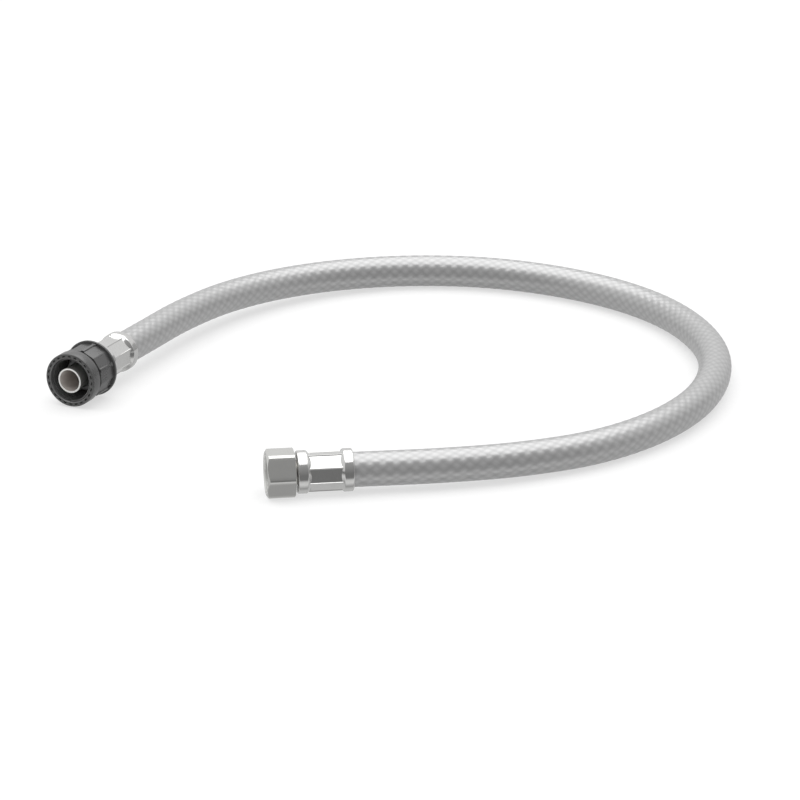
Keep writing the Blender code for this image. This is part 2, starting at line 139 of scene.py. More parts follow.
class Graph:
    """A node tree that is written as calls: each call adds a node and feeds its sockets."""

    def __init__(self, tree: bpy.types.NodeTree) -> None:
        """Keep the tree that the calls write to."""
        self.tree = tree

    def add(self, kind: str, inputs: dict | None = None, **settings: object) -> bpy.types.Node:
        """Add a node.

        Args:
            kind: Blender's name of the node type.
            inputs: values or sockets for its inputs, by name or number.
            settings: the node's own properties.
        Returns:
            The node.
        """
        node = self.tree.nodes.new(kind)
        for key, value in settings.items():
            setattr(node, key, value)
        self.feed_all(node, inputs or {})
        return node

    def feed_all(self, node: bpy.types.Node, inputs: dict) -> None:
        """Feed a node's inputs, given by name or number."""
        for key, value in inputs.items():
            self.feed(node.inputs[key], value)

    def feed(self, socket: bpy.types.NodeSocket, value: object) -> None:
        """Link a socket into an input, or set the input's value.

        Args:
            socket: the input.
            value: another node's output, or a plain value.
        """
        if isinstance(value, bpy.types.NodeSocket):
            self.tree.links.new(value, socket)
        else:
            socket.default_value = value

    def math(self, operation: str, *values: object) -> bpy.types.NodeSocket:
        """Result of a sum on numbers.

        Args:
            operation: Blender's name of the sum.
            values: numbers or sockets, in the node's order.
        Returns:
            The result.
        """
        node = self.add("ShaderNodeMath", dict(enumerate(values)), operation=operation)
        return node.outputs[0]

    def vector(self, operation: str, *values: object) -> bpy.types.NodeSocket:
        """Result of a sum on vectors."""
        node = self.add("ShaderNodeVectorMath", dict(enumerate(values)), operation=operation)
        return node.outputs[0]

    def combine(self, x: object, y: object, z: object) -> bpy.types.NodeSocket:
        """Vector of three numbers."""
        return self.add("ShaderNodeCombineXYZ", {0: x, 1: y, 2: z}).outputs[0]

    def mix(self, share: object, first: object, second: object) -> bpy.types.NodeSocket:
        """Colour between two colours.

        Args:
            share: how much of the second colour.
            first: the colour at 0.
            second: the colour at 1.
        Returns:
            The colour.
        """
        node = self.add("ShaderNodeMix", data_type="RGBA")
        for index, value in ((0, share), (6, first), (7, second)):
            if isinstance(value, tuple):
                value = (*value, 1.0)
            self.feed(node.inputs[index], value)
        return node.outputs[2]

    def blend(self, share: object, first: object, second: object) -> bpy.types.NodeSocket:
        """Number between two numbers."""
        node = self.add("ShaderNodeMix", {0: share, 2: first, 3: second}, data_type="FLOAT")
        return node.outputs[0]

    def smooth_step(self, value: object, start: float, end: float) -> bpy.types.NodeSocket:
        """Share that goes softly from 0 at the start value to 1 at the end value."""
        node = self.add(
            "ShaderNodeMapRange", {0: value, 1: start, 2: end}, interpolation_type="SMOOTHSTEP"
        )
        return node.outputs[0]

    def upright(self, path: object) -> bpy.types.NodeSocket:
        """Path whose normals stay upright, so that a profile doesn't roll on it."""
        return self.add("GeometryNodeSetCurveNormal", {"Curve": path}, mode="Z_UP").outputs[0]

    def hand_out(self, geometry: bpy.types.NodeSocket, given: Sockets, wanted: Sockets) -> None:
        """End a geometry tree: make everything real, give it its material and put it out.

        Args:
            geometry: what the tree has made.
            given: the tree's inputs by name.
            wanted: its outputs by name.
        """
        real = self.add("GeometryNodeRealizeInstances", {0: geometry})
        dressed = self.add("GeometryNodeSetMaterial", {
            "Geometry": real.outputs[0], "Material": given["Material"],
        })
        self.feed(wanted["Geometry"], dressed.outputs[0])

    def levels(self, angle: object, stops: Sequence[Point]) -> bpy.types.NodeSocket:
        """Grey level that changes with an angle.

        Args:
            angle: the angle in radians, from 0 to half a turn.
            stops: pairs of an angle in degrees and its level.
        Returns:
            The level.
        """
        ramp = self.add("ShaderNodeValToRGB", {0: self.math("DIVIDE", angle, math.pi)})
        marks = ramp.color_ramp.elements
        for mark in list(marks)[1:]:
            marks.remove(mark)
        for index, (degrees, level) in enumerate(stops):
            position = math.radians(degrees) / math.pi
            mark = marks[0] if index == 0 else marks.new(position)
            mark.position = position
            mark.color = (level, level, level, 1.0)
        return ramp.outputs[0]


class TreeKind(Enum):
    """Kinds of node tree."""

    SHAPE = "GeometryNodeTree"
    SHADER = "ShaderNodeTree"


def new_tree(
    name: str, kind: TreeKind, inputs: dict[str, str], outputs: dict[str, str]
) -> tuple[Graph, Sockets, Sockets]:
    """Start a node tree with named inputs and outputs.

    Args:
        name: the tree's name.
        kind: what it makes.
        inputs: the type of each input by its name.
        outputs: the type of each output by its name.
    Returns:
        The graph, its input sockets by name, and its output sockets by name.
    """
    tree = bpy.data.node_groups.new(name, kind.value)
    for way, sockets in (("INPUT", inputs), ("OUTPUT", outputs)):
        for socket, sort in sockets.items():
            tree.interface.new_socket(socket, in_out=way, socket_type=f"NodeSocket{sort}")
    graph = Graph(tree)
    given = {end.name: end for end in graph.add("NodeGroupInput").outputs if end.name}
    wanted = {end.name: end for end in graph.add("NodeGroupOutput").inputs if end.name}
    return graph, given, wanted


def grown(
    name: str, mesh: bpy.types.Mesh, tree: bpy.types.NodeTree, values: dict
) -> bpy.types.Mesh:
    """Run a geometry tree on a mesh and keep what it makes.

    Args:
        name: the new mesh's name.
        mesh: what the tree starts from.
        tree: the geometry tree.
        values: its inputs by name.
    Returns:
        A plain mesh.
    """
    carrier = bpy.data.objects.new(name, mesh)
    bpy.context.scene.collection.objects.link(carrier)
    modifier = carrier.modifiers.new("grow", "NODES")
    modifier.node_group = tree
    for item in tree.interface.items_tree:
        if item.item_type == "SOCKET" and item.in_out == "INPUT" and item.name in values:
            modifier[item.identifier] = values[item.name]
    state = bpy.context.evaluated_depsgraph_get()
    state.update()
    made = bpy.data.meshes.new_from_object(carrier.evaluated_get(state))
    carrier.modifiers.remove(modifier)
    bpy.data.objects.remove(carrier, do_unlink=True)
    bpy.data.meshes.remove(mesh)
    made.name = name
    return made


def piece(
    name: str, mesh: bpy.types.Mesh, body: Body, slot: Slot, *nodes: str
) -> bpy.types.Object:
    """Put a finished mesh in the scene, riding on its body.

    Args:
        name: the piece's name.
        mesh: its mesh, in the row frame.
        body: the CAD body that it rides on.
        slot: the record's material slot; not used.
        nodes: the CAD nodes that it stands for.
    Returns:
        The piece.
    """
    obj = bpy.data.objects.new(name, mesh)
    bpy.context.scene.collection.objects.link(obj)
    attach(obj, body.value)
    if nodes:
        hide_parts(*nodes)
    mesh.calc_loop_triangles()
    LOG.info("%s: %d triangles", name, len(mesh.loop_triangles))
    return obj


def closed(shape: bmesh.types.BMesh, mesh: bpy.types.Mesh) -> bpy.types.Mesh:
    """Turn a closed shape's faces outward and write it to a mesh."""
    bmesh.ops.recalc_face_normals(shape, faces=shape.faces)
    shape.to_mesh(mesh)
    shape.free()
    return mesh


def filleted(
    corners: Sequence[Corner], steps: int = 4, side_share: float = 0.48
) -> list[Point]:
    """Round the corners of a closed outline.

    Args:
        corners: radius from the axis, height, and the size of the rounding, 0 for none.
        steps: pieces of each arc.
        side_share: most of a side that the rounding of one corner may take.
    Returns:
        The outline's points.
    """
    points: list[Point] = []
    for index, (radius, height, size) in enumerate(corners):
        here = Vector((radius, height))
        if size <= 0:
            points.append((radius, height))
            continue
        back = Vector(corners[index - 1][:2]) - here
        on = Vector(corners[(index + 1) % len(corners)][:2]) - here
        half = back.angle(on) / 2
        reach = min(size / math.tan(half), side_share * back.length, side_share * on.length)
        arc = reach * math.tan(half)
        way = (back.normalized() + on.normalized()).normalized()
        centre = here + way * (arc / math.sin(half))
        start = here + back.normalized() * reach - centre
        end = here + on.normalized() * reach - centre
        first = math.atan2(start.y, start.x)
        sweep = math.remainder(math.atan2(end.y, end.x) - first, math.tau)
        for step in range(steps + 1):
            angle = first + sweep * step / steps
            points.append((centre.x + arc * math.cos(angle), centre.y + arc * math.sin(angle)))
    return points


@dataclass(frozen=True)
class RoundedPolygon:
    """Section with equal flats, the first of which faces angle 0. Its corners are rounded.

    A roll is a wide soft bend that each flat makes on its way into the corner.
    """

    sides: int
    apothem: float
    rounding: float
    roll_radius: float = 0.0
    roll_turn: float = 0.0
    flat_steps: int = 6
    bend_steps: int = 5

    def half_side(self) -> list[Point]:
        """Sample the section from the middle of a flat to its corner.

        Returns:
            Pairs of an angle from the flat's middle and a radius.
        """
        half = math.pi / self.sides
        bends = ((0.0, self.roll_turn, self.roll_radius), (self.roll_turn, half, self.rounding))
        bent = [(0.0, 0.0)]
        for first, last, radius in bends:
            if last <= first:
                continue
            drop, along = bent[-1]
            for step in range(1, self.bend_steps + 1):
                turn = first + (last - first) * step / self.bend_steps
                bent.append((
                    drop + radius * (math.cos(first) - math.cos(turn)),
                    along + radius * (math.sin(turn) - math.sin(first)),
                ))
        flat = math.tan(half) * (self.apothem - bent[-1][0]) - bent[-1][1]
        line = [(self.apothem, flat * step / self.flat_steps) for step in range(self.flat_steps)]
        line += [(self.apothem - drop, flat + along) for drop, along in bent]
        return [(math.atan2(y, x), math.hypot(x, y)) for x, y in line]

    def radius(self, angle: float) -> float:
        """Distance from the axis to the section.

        Args:
            angle: direction from the axis, 0 at the middle of the first flat.
        Returns:
            The distance.
        """
        half = math.pi / self.sides
        off = abs((angle + half) % (2 * half) - half)
        table = self.half_side()
        for (low, first), (high, second) in zip(table, table[1:]):
            if off <= high:
                return first + (second - first) * max(off - low, 0.0) / (high - low)
        return table[-1][1]

    def angles(self) -> list[float]:
        """Sample the whole section.

        Returns:
            Angles, in no order.
        """
        halves = [side * angle for side in (1, -1) for angle, _ in self.half_side()]
        middles = [math.tau * flat / self.sides for flat in range(self.sides)]
        return [middle + half for middle in middles for half in halves]


def around(*groups: Sequence[float], apart: float = 1e-6) -> list[float]:
    """Put angles in rising order round one turn, without doubles.

    Args:
        groups: lists of angles.
        apart: closer angles than this count as one.
    Returns:
        The angles that are left.
    """
    ordered = sorted(angle % math.tau for group in groups for angle in group)
    kept = [a for a, b in zip(ordered, ordered[1:]) if b - a > apart]
    return kept + [ordered[-1]] if ordered[-1] < math.tau - apart else kept


def skinned(
    name: str, angles: Sequence[float], outline_at: Callable[[float], list[Point]]
) -> bpy.types.Mesh:
    """Close a ring-shaped body whose outline may change round Z.

    Args:
        name: the mesh's name.
        angles: where the outline is taken, rising round the axis.
        outline_at: gives the closed outline at an angle, always with as many points.
    Returns:
        The mesh, on the fitting's own axes.
    """
    shape = bmesh.new()
    rows = []
    for angle in angles:
        turn = Vector((math.cos(angle), math.sin(angle), 0.0))
        rows.append([
            shape.verts.new(turn * radius + Vector((0.0, 0.0, height)))
            for radius, height in outline_at(angle)
        ])
    for row, following in zip(rows, rows[1:] + rows[:1]):
        for index in range(len(row)):
            after = (index + 1) % len(row)
            shape.faces.new((row[index], row[after], following[after], following[index]))
    bmesh.ops.remove_doubles(shape, verts=shape.verts, dist=MERGE_DISTANCE)
    return closed(shape, bpy.data.meshes.new(name))


def turned(name: str, corners: Sequence[Corner]) -> bpy.types.Mesh:
    """Turn a body of one closed outline.

    Args:
        name: the mesh's name.
        corners: the outline, as filleted takes it.
    Returns:
        The mesh, on the fitting's own axes.
    """
    outline = filleted(corners)
    angles = [math.tau * step / TURNED_STEPS for step in range(TURNED_STEPS)]
    return skinned(name, angles, lambda angle: outline)


def dress_where(
    mesh: bpy.types.Mesh, index: int, chosen: Callable[[float, float], bool]
) -> None:
    """Give some faces of a body another of its materials.

    Args:
        mesh: a body on its fitting's own axes.
        index: the material's number.
        chosen: tells whether a face at this radius and height is one of them.
    """
    for face in mesh.polygons:
        if chosen(face.center.xy.length, face.center.z):
            face.material_index = index


@dataclass
class Effects:
    """Shader groups that several finishes share."""

    patch_detail: float = 3.0
    fine_detail: float = 2.0
    fine_scale: float = 9.0
    fine_share: float = 0.35
    worn_from: float = 0.38
    worn_to: float = 0.66
    grain_detail: float = 2.0
    grain_roughness: float = 0.6
    wear: bpy.types.NodeTree = field(init=False)
    grain: bpy.types.NodeTree = field(init=False)

    def __post_init__(self) -> None:
        """Build the groups once."""
        self.wear = self.wear_group()
        self.grain = self.grain_group()

    def wear_group(self) -> bpy.types.NodeTree:
        """Make the group that varies a colour and a roughness in soft patches and fine specks.

        Returns:
            The group.
        """
        graph, given, wanted = new_tree("handling wear", TreeKind.SHADER, {
            "Vector": "Vector", "Scale": "Float", "Amount": "Float", "Colour": "Color",
            "Worn Colour": "Color", "Roughness": "Float", "Worn Roughness": "Float",
        }, {"Colour": "Color", "Roughness": "Float"})
        patches = graph.add("ShaderNodeTexNoise", {
            "Vector": given["Vector"], "Scale": given["Scale"], "Detail": self.patch_detail,
        })
        fine = graph.add("ShaderNodeTexNoise", {
            "Vector": given["Vector"], "Detail": self.fine_detail,
            "Scale": graph.math("MULTIPLY", given["Scale"], self.fine_scale),
        })
        both = graph.blend(self.fine_share, patches.outputs[0], fine.outputs[0])
        spread = graph.add("ShaderNodeMapRange", {0: both, 1: self.worn_from, 2: self.worn_to})
        share = graph.math("MULTIPLY", spread.outputs[0], given["Amount"])
        graph.feed(wanted["Colour"], graph.mix(share, given["Colour"], given["Worn Colour"]))
        graph.feed(
            wanted["Roughness"], graph.blend(share, given["Roughness"], given["Worn Roughness"])
        )
        return graph.tree

    def grain_group(self) -> bpy.types.NodeTree:
        """Make the group for the height of a fine grain, which a stretch draws out into lines.

        Returns:
            The group.
        """
        graph, given, wanted = new_tree("fine grain", TreeKind.SHADER, {
            "Vector": "Vector", "Scale": "Float", "Stretch": "Float",
        }, {"Height": "Float"})
        apart = graph.add("ShaderNodeSeparateXYZ", {0: given["Vector"]})
        drawn = graph.combine(
            apart.outputs[0], apart.outputs[1],
            graph.math("DIVIDE", apart.outputs[2], given["Stretch"]),
        )
        noise = graph.add("ShaderNodeTexNoise", {
            "Vector": drawn, "Scale": given["Scale"], "Detail": self.grain_detail,
            "Roughness": self.grain_roughness,
        })
        graph.feed(wanted["Height"], noise.outputs[0])
        return graph.tree


def new_material(name: str) -> tuple[bpy.types.Material, Graph, bpy.types.Node]:
    """Start a material.

    Args:
        name: the material's name.
    Returns:
        The material, its graph and its Principled shader.
    """
    material = bpy.data.materials.new(name)
    material.use_nodes = True
    graph = Graph(material.node_tree)
    return material, graph, material.node_tree.nodes["Principled BSDF"]


def axis_vector(graph: Graph, place: Place) -> bpy.types.NodeSocket:
    """Turn Object coordinates on to a fitting's own axes.

    Args:
        graph: the material's graph.
        place: where the fitting lies.
    Returns:
        The coordinates, in metres.
    """
    back = place.matrix().inverted()
    mapping = graph.add("ShaderNodeMapping", {
        "Vector": graph.add("ShaderNodeTexCoord").outputs["Object"],
        "Location": back.to_translation(), "Rotation": back.to_euler(),
    }, vector_type="POINT")
    return mapping.outputs[0]


@dataclass(frozen=True)
class Finish:
    """Finish of a rigid piece: metal, plastic or rubber."""

    name: str
    colour: Colour
    worn: Colour
    roughness: float
    worn_roughness: float
    metallic: float = 0.0
    wear: float = 0.5
    wear_scale: float = 120.0
    grain_scale: float = 3000.0
    grain_stretch: float = 1.0
    grain_depth: float = 0.01 * MM
    specular: float = 0.5

    def build(self, effects: Effects, place: Place) -> bpy.types.Material:
        """Make the material for a piece on a fitting.

        Args:
            effects: the shared groups.
            place: the fitting, whose axis the grain follows.
        Returns:
            The material.
        """
        material, graph, shader = new_material(self.name)
        where = axis_vector(graph, place)
        wear = graph.add("ShaderNodeGroup", {
            "Vector": where, "Scale": self.wear_scale, "Amount": self.wear,
            "Colour": (*self.colour, 1.0), "Worn Colour": (*self.worn, 1.0),
            "Roughness": self.roughness, "Worn Roughness": self.worn_roughness,
        }, node_tree=effects.wear)
        grain = graph.add("ShaderNodeGroup", {
            "Vector": where, "Scale": self.grain_scale, "Stretch": self.grain_stretch,
        }, node_tree=effects.grain)
        bump = graph.add("ShaderNodeBump", {
            "Height": grain.outputs["Height"], "Distance": self.grain_depth,
        })
        graph.feed_all(shader, {
            "Base Color": wear.outputs["Colour"], "Roughness": wear.outputs["Roughness"],
            "Normal": bump.outputs[0], "Metallic": self.metallic,
            "Specular IOR Level": self.specular,
        })
        return material


NICKEL = Finish(
    "nickel plate", (0.75, 0.75, 0.73), (0.67, 0.67, 0.65), 0.14, 0.22, metallic=1.0,
    grain_scale=900.0, grain_depth=0.004 * MM,
)
DULL_NICKEL = Finish(
    "dull plated thread", (0.80, 0.80, 0.78), (0.68, 0.68, 0.66), 0.38, 0.50, metallic=0.4,
    grain_scale=900.0, grain_depth=0.006 * MM,
)
PRESSED_STEEL = Finish(
    "pressed stainless steel", (0.76, 0.76, 0.75), (0.68, 0.67, 0.66), 0.12, 0.20,
    metallic=1.0, grain_scale=1800.0, grain_stretch=14.0, grain_depth=0.004 * MM,
)
TUBE_STEEL = Finish(
    "drawn steel tube", (0.52, 0.52, 0.50), (0.42, 0.42, 0.40), 0.30, 0.40, metallic=0.8,
    grain_scale=1800.0, grain_stretch=10.0, grain_depth=0.004 * MM,
)
# Bare metal of the tube's cut end, painted much lighter than the tube: a painted highlight on its
# rounded rim.
CUT_END_HIGHLIGHT = Finish(
    "cut end with painted highlight", (0.90, 0.90, 0.88), (0.80, 0.80, 0.78), 0.34, 0.46, metallic=0.25,
    grain_scale=2500.0, grain_depth=0.004 * MM,
)
DULL_BORE = Finish(
    "dull tube bore", (0.60, 0.56, 0.53), (0.50, 0.47, 0.445), 0.55, 0.65, metallic=0.2,
    grain_scale=1500.0, grain_stretch=6.0, grain_depth=0.01 * MM,
)
TURNED_BRASS = Finish(
    "plated brass", (0.50, 0.49, 0.46), (0.42, 0.40, 0.36), 0.32, 0.42, metallic=1.0,
    grain_scale=2500.0, grain_stretch=0.2, grain_depth=0.006 * MM,
)
BLACK_PLASTIC = Finish(
    "black moulded plastic", (0.062, 0.062, 0.062), (0.082, 0.082, 0.082), 0.26, 0.38,
    wear_scale=200.0, grain_scale=5000.0, grain_depth=0.012 * MM, specular=1.0,
)
# Plastic of the hand nut's thread and socket: the same black moulding, its colour painted lighter
# as painted light inside the socket.
PLASTIC_PAINTED_LIGHTER = Finish(
    "plastic inside painted lighter", (0.13, 0.13, 0.13), (0.17, 0.17, 0.17), 0.30, 0.44,
    wear_scale=200.0, grain_scale=5000.0, grain_depth=0.012 * MM, specular=1.0,
)
GREY_RUBBER = Finish(
    "grey rubber", (0.26, 0.26, 0.26), (0.32, 0.32, 0.32), 0.62, 0.75,
    wear_scale=300.0, grain_scale=4000.0, grain_depth=0.02 * MM,
)


def weave_cells(
    graph: Graph, first: bpy.types.NodeSocket, second: bpy.types.NodeSocket
) -> tuple[list[bpy.types.NodeSocket], bpy.types.NodeSocket]:
    """Find the cell of a weave that a point is in.

    Args:
        graph: the tree to write to.
        first: place across the strands that wind one way, 1 a strand.
        second: the same for those that wind the other way.
    Returns:
        The places of the two strands' middles, and 1 where the second strand is on top, else 0.
    """
    middles = [graph.math("FLOOR", graph.math("ADD", place, 0.5)) for place in (first, second)]
    return middles, graph.math("FLOORED_MODULO", graph.math("ADD", *middles), 2.0)


@dataclass(frozen=True)
class BraidFinish:
    """Finish of the hose: silver strands of fine wires under a clear glossy cover, with painted
    shade in the valleys between strands and between the wires.
    """

    strands: int
    # crown is the strands' own colour; the valley colour is painted shade where the strands dive
    # under each other.
    crown: Colour = (0.575, 0.575, 0.575)
    valley_shade: Colour = (0.40, 0.40, 0.40)
    wires: int = 6
    wire_depth: float = 0.02 * MM
    shade_between_wires: float = 0.3
    metallic: float = 0.55
    roughness: float = 0.32
    cover: float = 0.3
    cover_roughness: float = 0.12

    def build(self) -> bpy.types.Material:
        """Make the material, which reads the braid's own attributes.

        Returns:
            The material.
        """
        material, graph, shader = new_material("braided hose")
        place = graph.add("ShaderNodeAttribute", attribute_name="braid_place")
        height = graph.add("ShaderNodeAttribute", attribute_name="braid_height")
        apart = graph.add("ShaderNodeSeparateXYZ", {0: place.outputs["Vector"]})
        round_hose = graph.math("ARCTAN2", apart.outputs[1], apart.outputs[0])
        share = graph.math("MULTIPLY", round_hose, self.strands / math.tau)
        first = graph.math("ADD", share, apart.outputs[2])
        second = graph.math("SUBTRACT", share, apart.outputs[2])
        _, second_on_top = weave_cells(graph, first, second)
        across = graph.blend(second_on_top, first, second)
        wave = graph.math("COSINE", graph.math("MULTIPLY", across, math.tau * self.wires))
        wires = graph.math("MULTIPLY_ADD", wave, 0.5, 0.5)
        bump = graph.add("ShaderNodeBump", {"Height": wires, "Distance": self.wire_depth})
        # Painted shade: darker lines between the wires and darker valleys between the strands.
        wire_shade = graph.blend(self.shade_between_wires, 1.0, wires)
        lift = graph.math("MULTIPLY", height.outputs["Fac"], wire_shade)
        graph.feed_all(shader, {
            "Base Color": graph.mix(lift, self.valley_shade, self.crown), "Normal": bump.outputs[0],
            "Metallic": self.metallic, "Roughness": self.roughness, "Coat Weight": self.cover,
            "Coat Roughness": self.cover_roughness,
        })
        return material


@dataclass(frozen=True)
class Ferrule:
    """Pressed sleeve: eight flats that run out to a bead at each end, and a lip at the stem."""

    length: float = 23.9 * MM
    wall: float = 0.6 * MM
    bead_radius: float = 9.15 * MM
    front_bead: float = 4.2 * MM
    rear_bead: float = 4.0 * MM
    bead_round: float = 0.8 * MM
    run_out: float = math.radians(43)
    lip_radius: float = 5.3 * MM
    mouth_radius: float = 7.8 * MM
    edge: float = 0.12 * MM
    flats: RoundedPolygon = RoundedPolygon(8, 7.7 * MM, 0.8 * MM)
    fin: float = 0.32 * MM
    fin_width: float = 0.2 * MM
    fin_power: int = 4
    fin_steps: int = 5

    def pressed(self, angle: float) -> float:
        """Radius of the pressed part, with the thin fin that the jaws leave between them.

        Args:
            angle: direction from the axis, 0 at the middle of a flat.
        Returns:
            The radius.
        """
        step = math.tau / self.flats.sides
        off = math.remainder(angle - step / 2, step) * self.flats.apothem / self.fin_width
        return self.flats.radius(angle) + self.fin * math.exp(-off**self.fin_power)

    def outline(self, angle: float, start: float) -> list[Point]:
        """Draw the closed outline at an angle.

        Args:
            angle: direction from the axis, 0 at the middle of a flat.
            start: height of the sleeve's front end.
        Returns:
            The outline's points.
        """
        pressed = self.pressed(angle)
        low = start + self.front_bead
        end = start + self.length
        high = end - self.rear_bead
        hollow = self.bead_radius - self.wall
        core = self.flats.apothem - self.wall
        slope = (self.bead_radius - pressed) / math.tan(self.run_out)
        soft = self.bead_round
        return filleted([
            (self.lip_radius, start, self.edge), (self.bead_radius, start, soft),
            (self.bead_radius, low, soft), (pressed, low + slope, soft / 2),
            (pressed, high - slope, soft / 2), (self.bead_radius, high, soft),
            (self.bead_radius, end, soft), (self.mouth_radius, end, 2 * self.edge),
            (self.mouth_radius, end - self.wall, 0), (hollow, end - self.wall, 0),
            (hollow, high + self.wall, 0), (core, high + self.wall, 0),
            (core, low - self.wall, 0), (hollow, low - self.wall, 0),
            (hollow, start + self.wall, 0), (self.lip_radius, start + self.wall, 0),
        ])

    def mesh(self, name: str, start: float, turn: float) -> bpy.types.Mesh:
        """Mesh of the sleeve on its fitting's axes.

        Args:
            name: the mesh's name.
            start: height of the sleeve's front end.
            turn: angle that it is turned by round its axis.
        Returns:
            The mesh.
        """
        step = math.tau / self.flats.sides
        fine = self.fin_width / 2 / self.flats.apothem
        fins = [
            step * (side + 0.5) + fine * nudge
            for side in range(self.flats.sides)
            for nudge in range(-self.fin_steps, self.fin_steps + 1)
        ]
        angles = around(self.flats.angles(), fins, apart=fine / 4)
        made = skinned(name, angles, lambda angle: self.outline(angle, start))
        made.transform(Matrix.Rotation(turn, 4, "Z"))
        return made


@dataclass(frozen=True)
class Tail:
    """Hidden half of a stem: the groove for the ferrule's lip, a land and the barbs."""

    neck: float
    groove: float = 5.0 * MM
    land: float = 5.6 * MM
    lip: float = 0.9 * MM
    land_length: float = 1.2 * MM
    barbs: int = 4
    pitch: float = 4.2 * MM
    rise: float = 1.2 * MM
    crest: float = 0.4 * MM
    root: float = 4.2 * MM
    top: float = 4.7 * MM
    gap: float = 0.3 * MM

    def corners(self, ferrule_at: float) -> list[Corner]:
        """Draw the outline from the neck to the end of the barbs.

        Args:
            ferrule_at: height of the ferrule's front end.
        Returns:
            The outline's corners, as filleted takes them.
        """
        land_at = ferrule_at + self.lip
        barbs_at = land_at + self.land_length
        corners = [
            (self.neck, ferrule_at - self.gap, 0), (self.groove, ferrule_at - self.gap, 0),
            (self.groove, land_at, 0), (self.land, land_at, 0), (self.land, barbs_at, 0),
        ]
        for index in range(self.barbs):
            start = barbs_at + index * self.pitch
            corners += [
                (self.root, start, 0), (self.top, start + self.rise, 0),
                (self.top, start + self.rise + self.crest, 0),
            ]
        return corners + [(self.root, barbs_at + self.barbs * self.pitch, 0)]


@dataclass(frozen=True)
class Thread:
    """Inside thread as a ridge that winds along a bore."""

    root: float
    crest: float
    pitch: float
    first: float
    turns: float
    steps: int = 72
    sunk_share: float = 0.45
    foot_share: float = 0.84
    top_share: float = 0.18

    @classmethod
    def tree(cls) -> bpy.types.NodeTree:
        """Write the geometry tree that sweeps a ridge along a spiral.

        Returns:
            The tree.
        """
        graph, given, wanted = new_tree("thread ridge", TreeKind.SHAPE, {
            "Geometry": "Geometry", "Root Radius": "Float", "Depth": "Float", "Pitch": "Float",
            "Turns": "Float", "Steps": "Int", "Material": "Material",
        }, {"Geometry": "Geometry"})
        sunk = graph.math("MULTIPLY", given["Depth"], cls.sunk_share)
        middle = graph.math("SUBTRACT", given["Root Radius"], sunk)
        spiral = graph.add("GeometryNodeCurveSpiral", {
            "Resolution": given["Steps"], "Rotations": given["Turns"], "Start Radius": middle,
            "End Radius": middle, "Height": graph.math("MULTIPLY", given["Pitch"], given["Turns"]),
        })
        ridge = graph.add("GeometryNodeCurvePrimitiveQuadrilateral", {
            "Height": given["Depth"],
            "Bottom Width": graph.math("MULTIPLY", given["Pitch"], cls.foot_share),
            "Top Width": graph.math("MULTIPLY", given["Pitch"], cls.top_share), "Offset": 0.0,
        }, mode="TRAPEZOID")
        turn = graph.add("GeometryNodeTransform", {
            "Geometry": ridge.outputs[0], "Rotation": (0.0, 0.0, math.pi / 2),
        })
        sweep = graph.add("GeometryNodeCurveToMesh", {
            "Curve": graph.upright(spiral.outputs[0]), "Profile Curve": turn.outputs[0],
            "Fill Caps": True,
        })
        graph.hand_out(sweep.outputs[0], given, wanted)
        return graph.tree

    def mesh(
        self, name: str, tree: bpy.types.NodeTree, material: bpy.types.Material
    ) -> bpy.types.Mesh:
        """Make the ridge.

        Args:
            name: the mesh's name.
            tree: the thread tree.
            material: the nut's material.
        Returns:
            The mesh, on the fitting's own axes.
        """
        made = grown(name, bpy.data.meshes.new("thread start"), tree, {
            "Root Radius": self.root, "Depth": self.root - self.crest, "Pitch": self.pitch,
            "Turns": self.turns, "Steps": self.steps, "Material": material,
        })
        made.transform(Matrix.Translation((0.0, 0.0, self.first)))
        shape = bmesh.new()
        shape.from_mesh(made)
        return closed(shape, made)


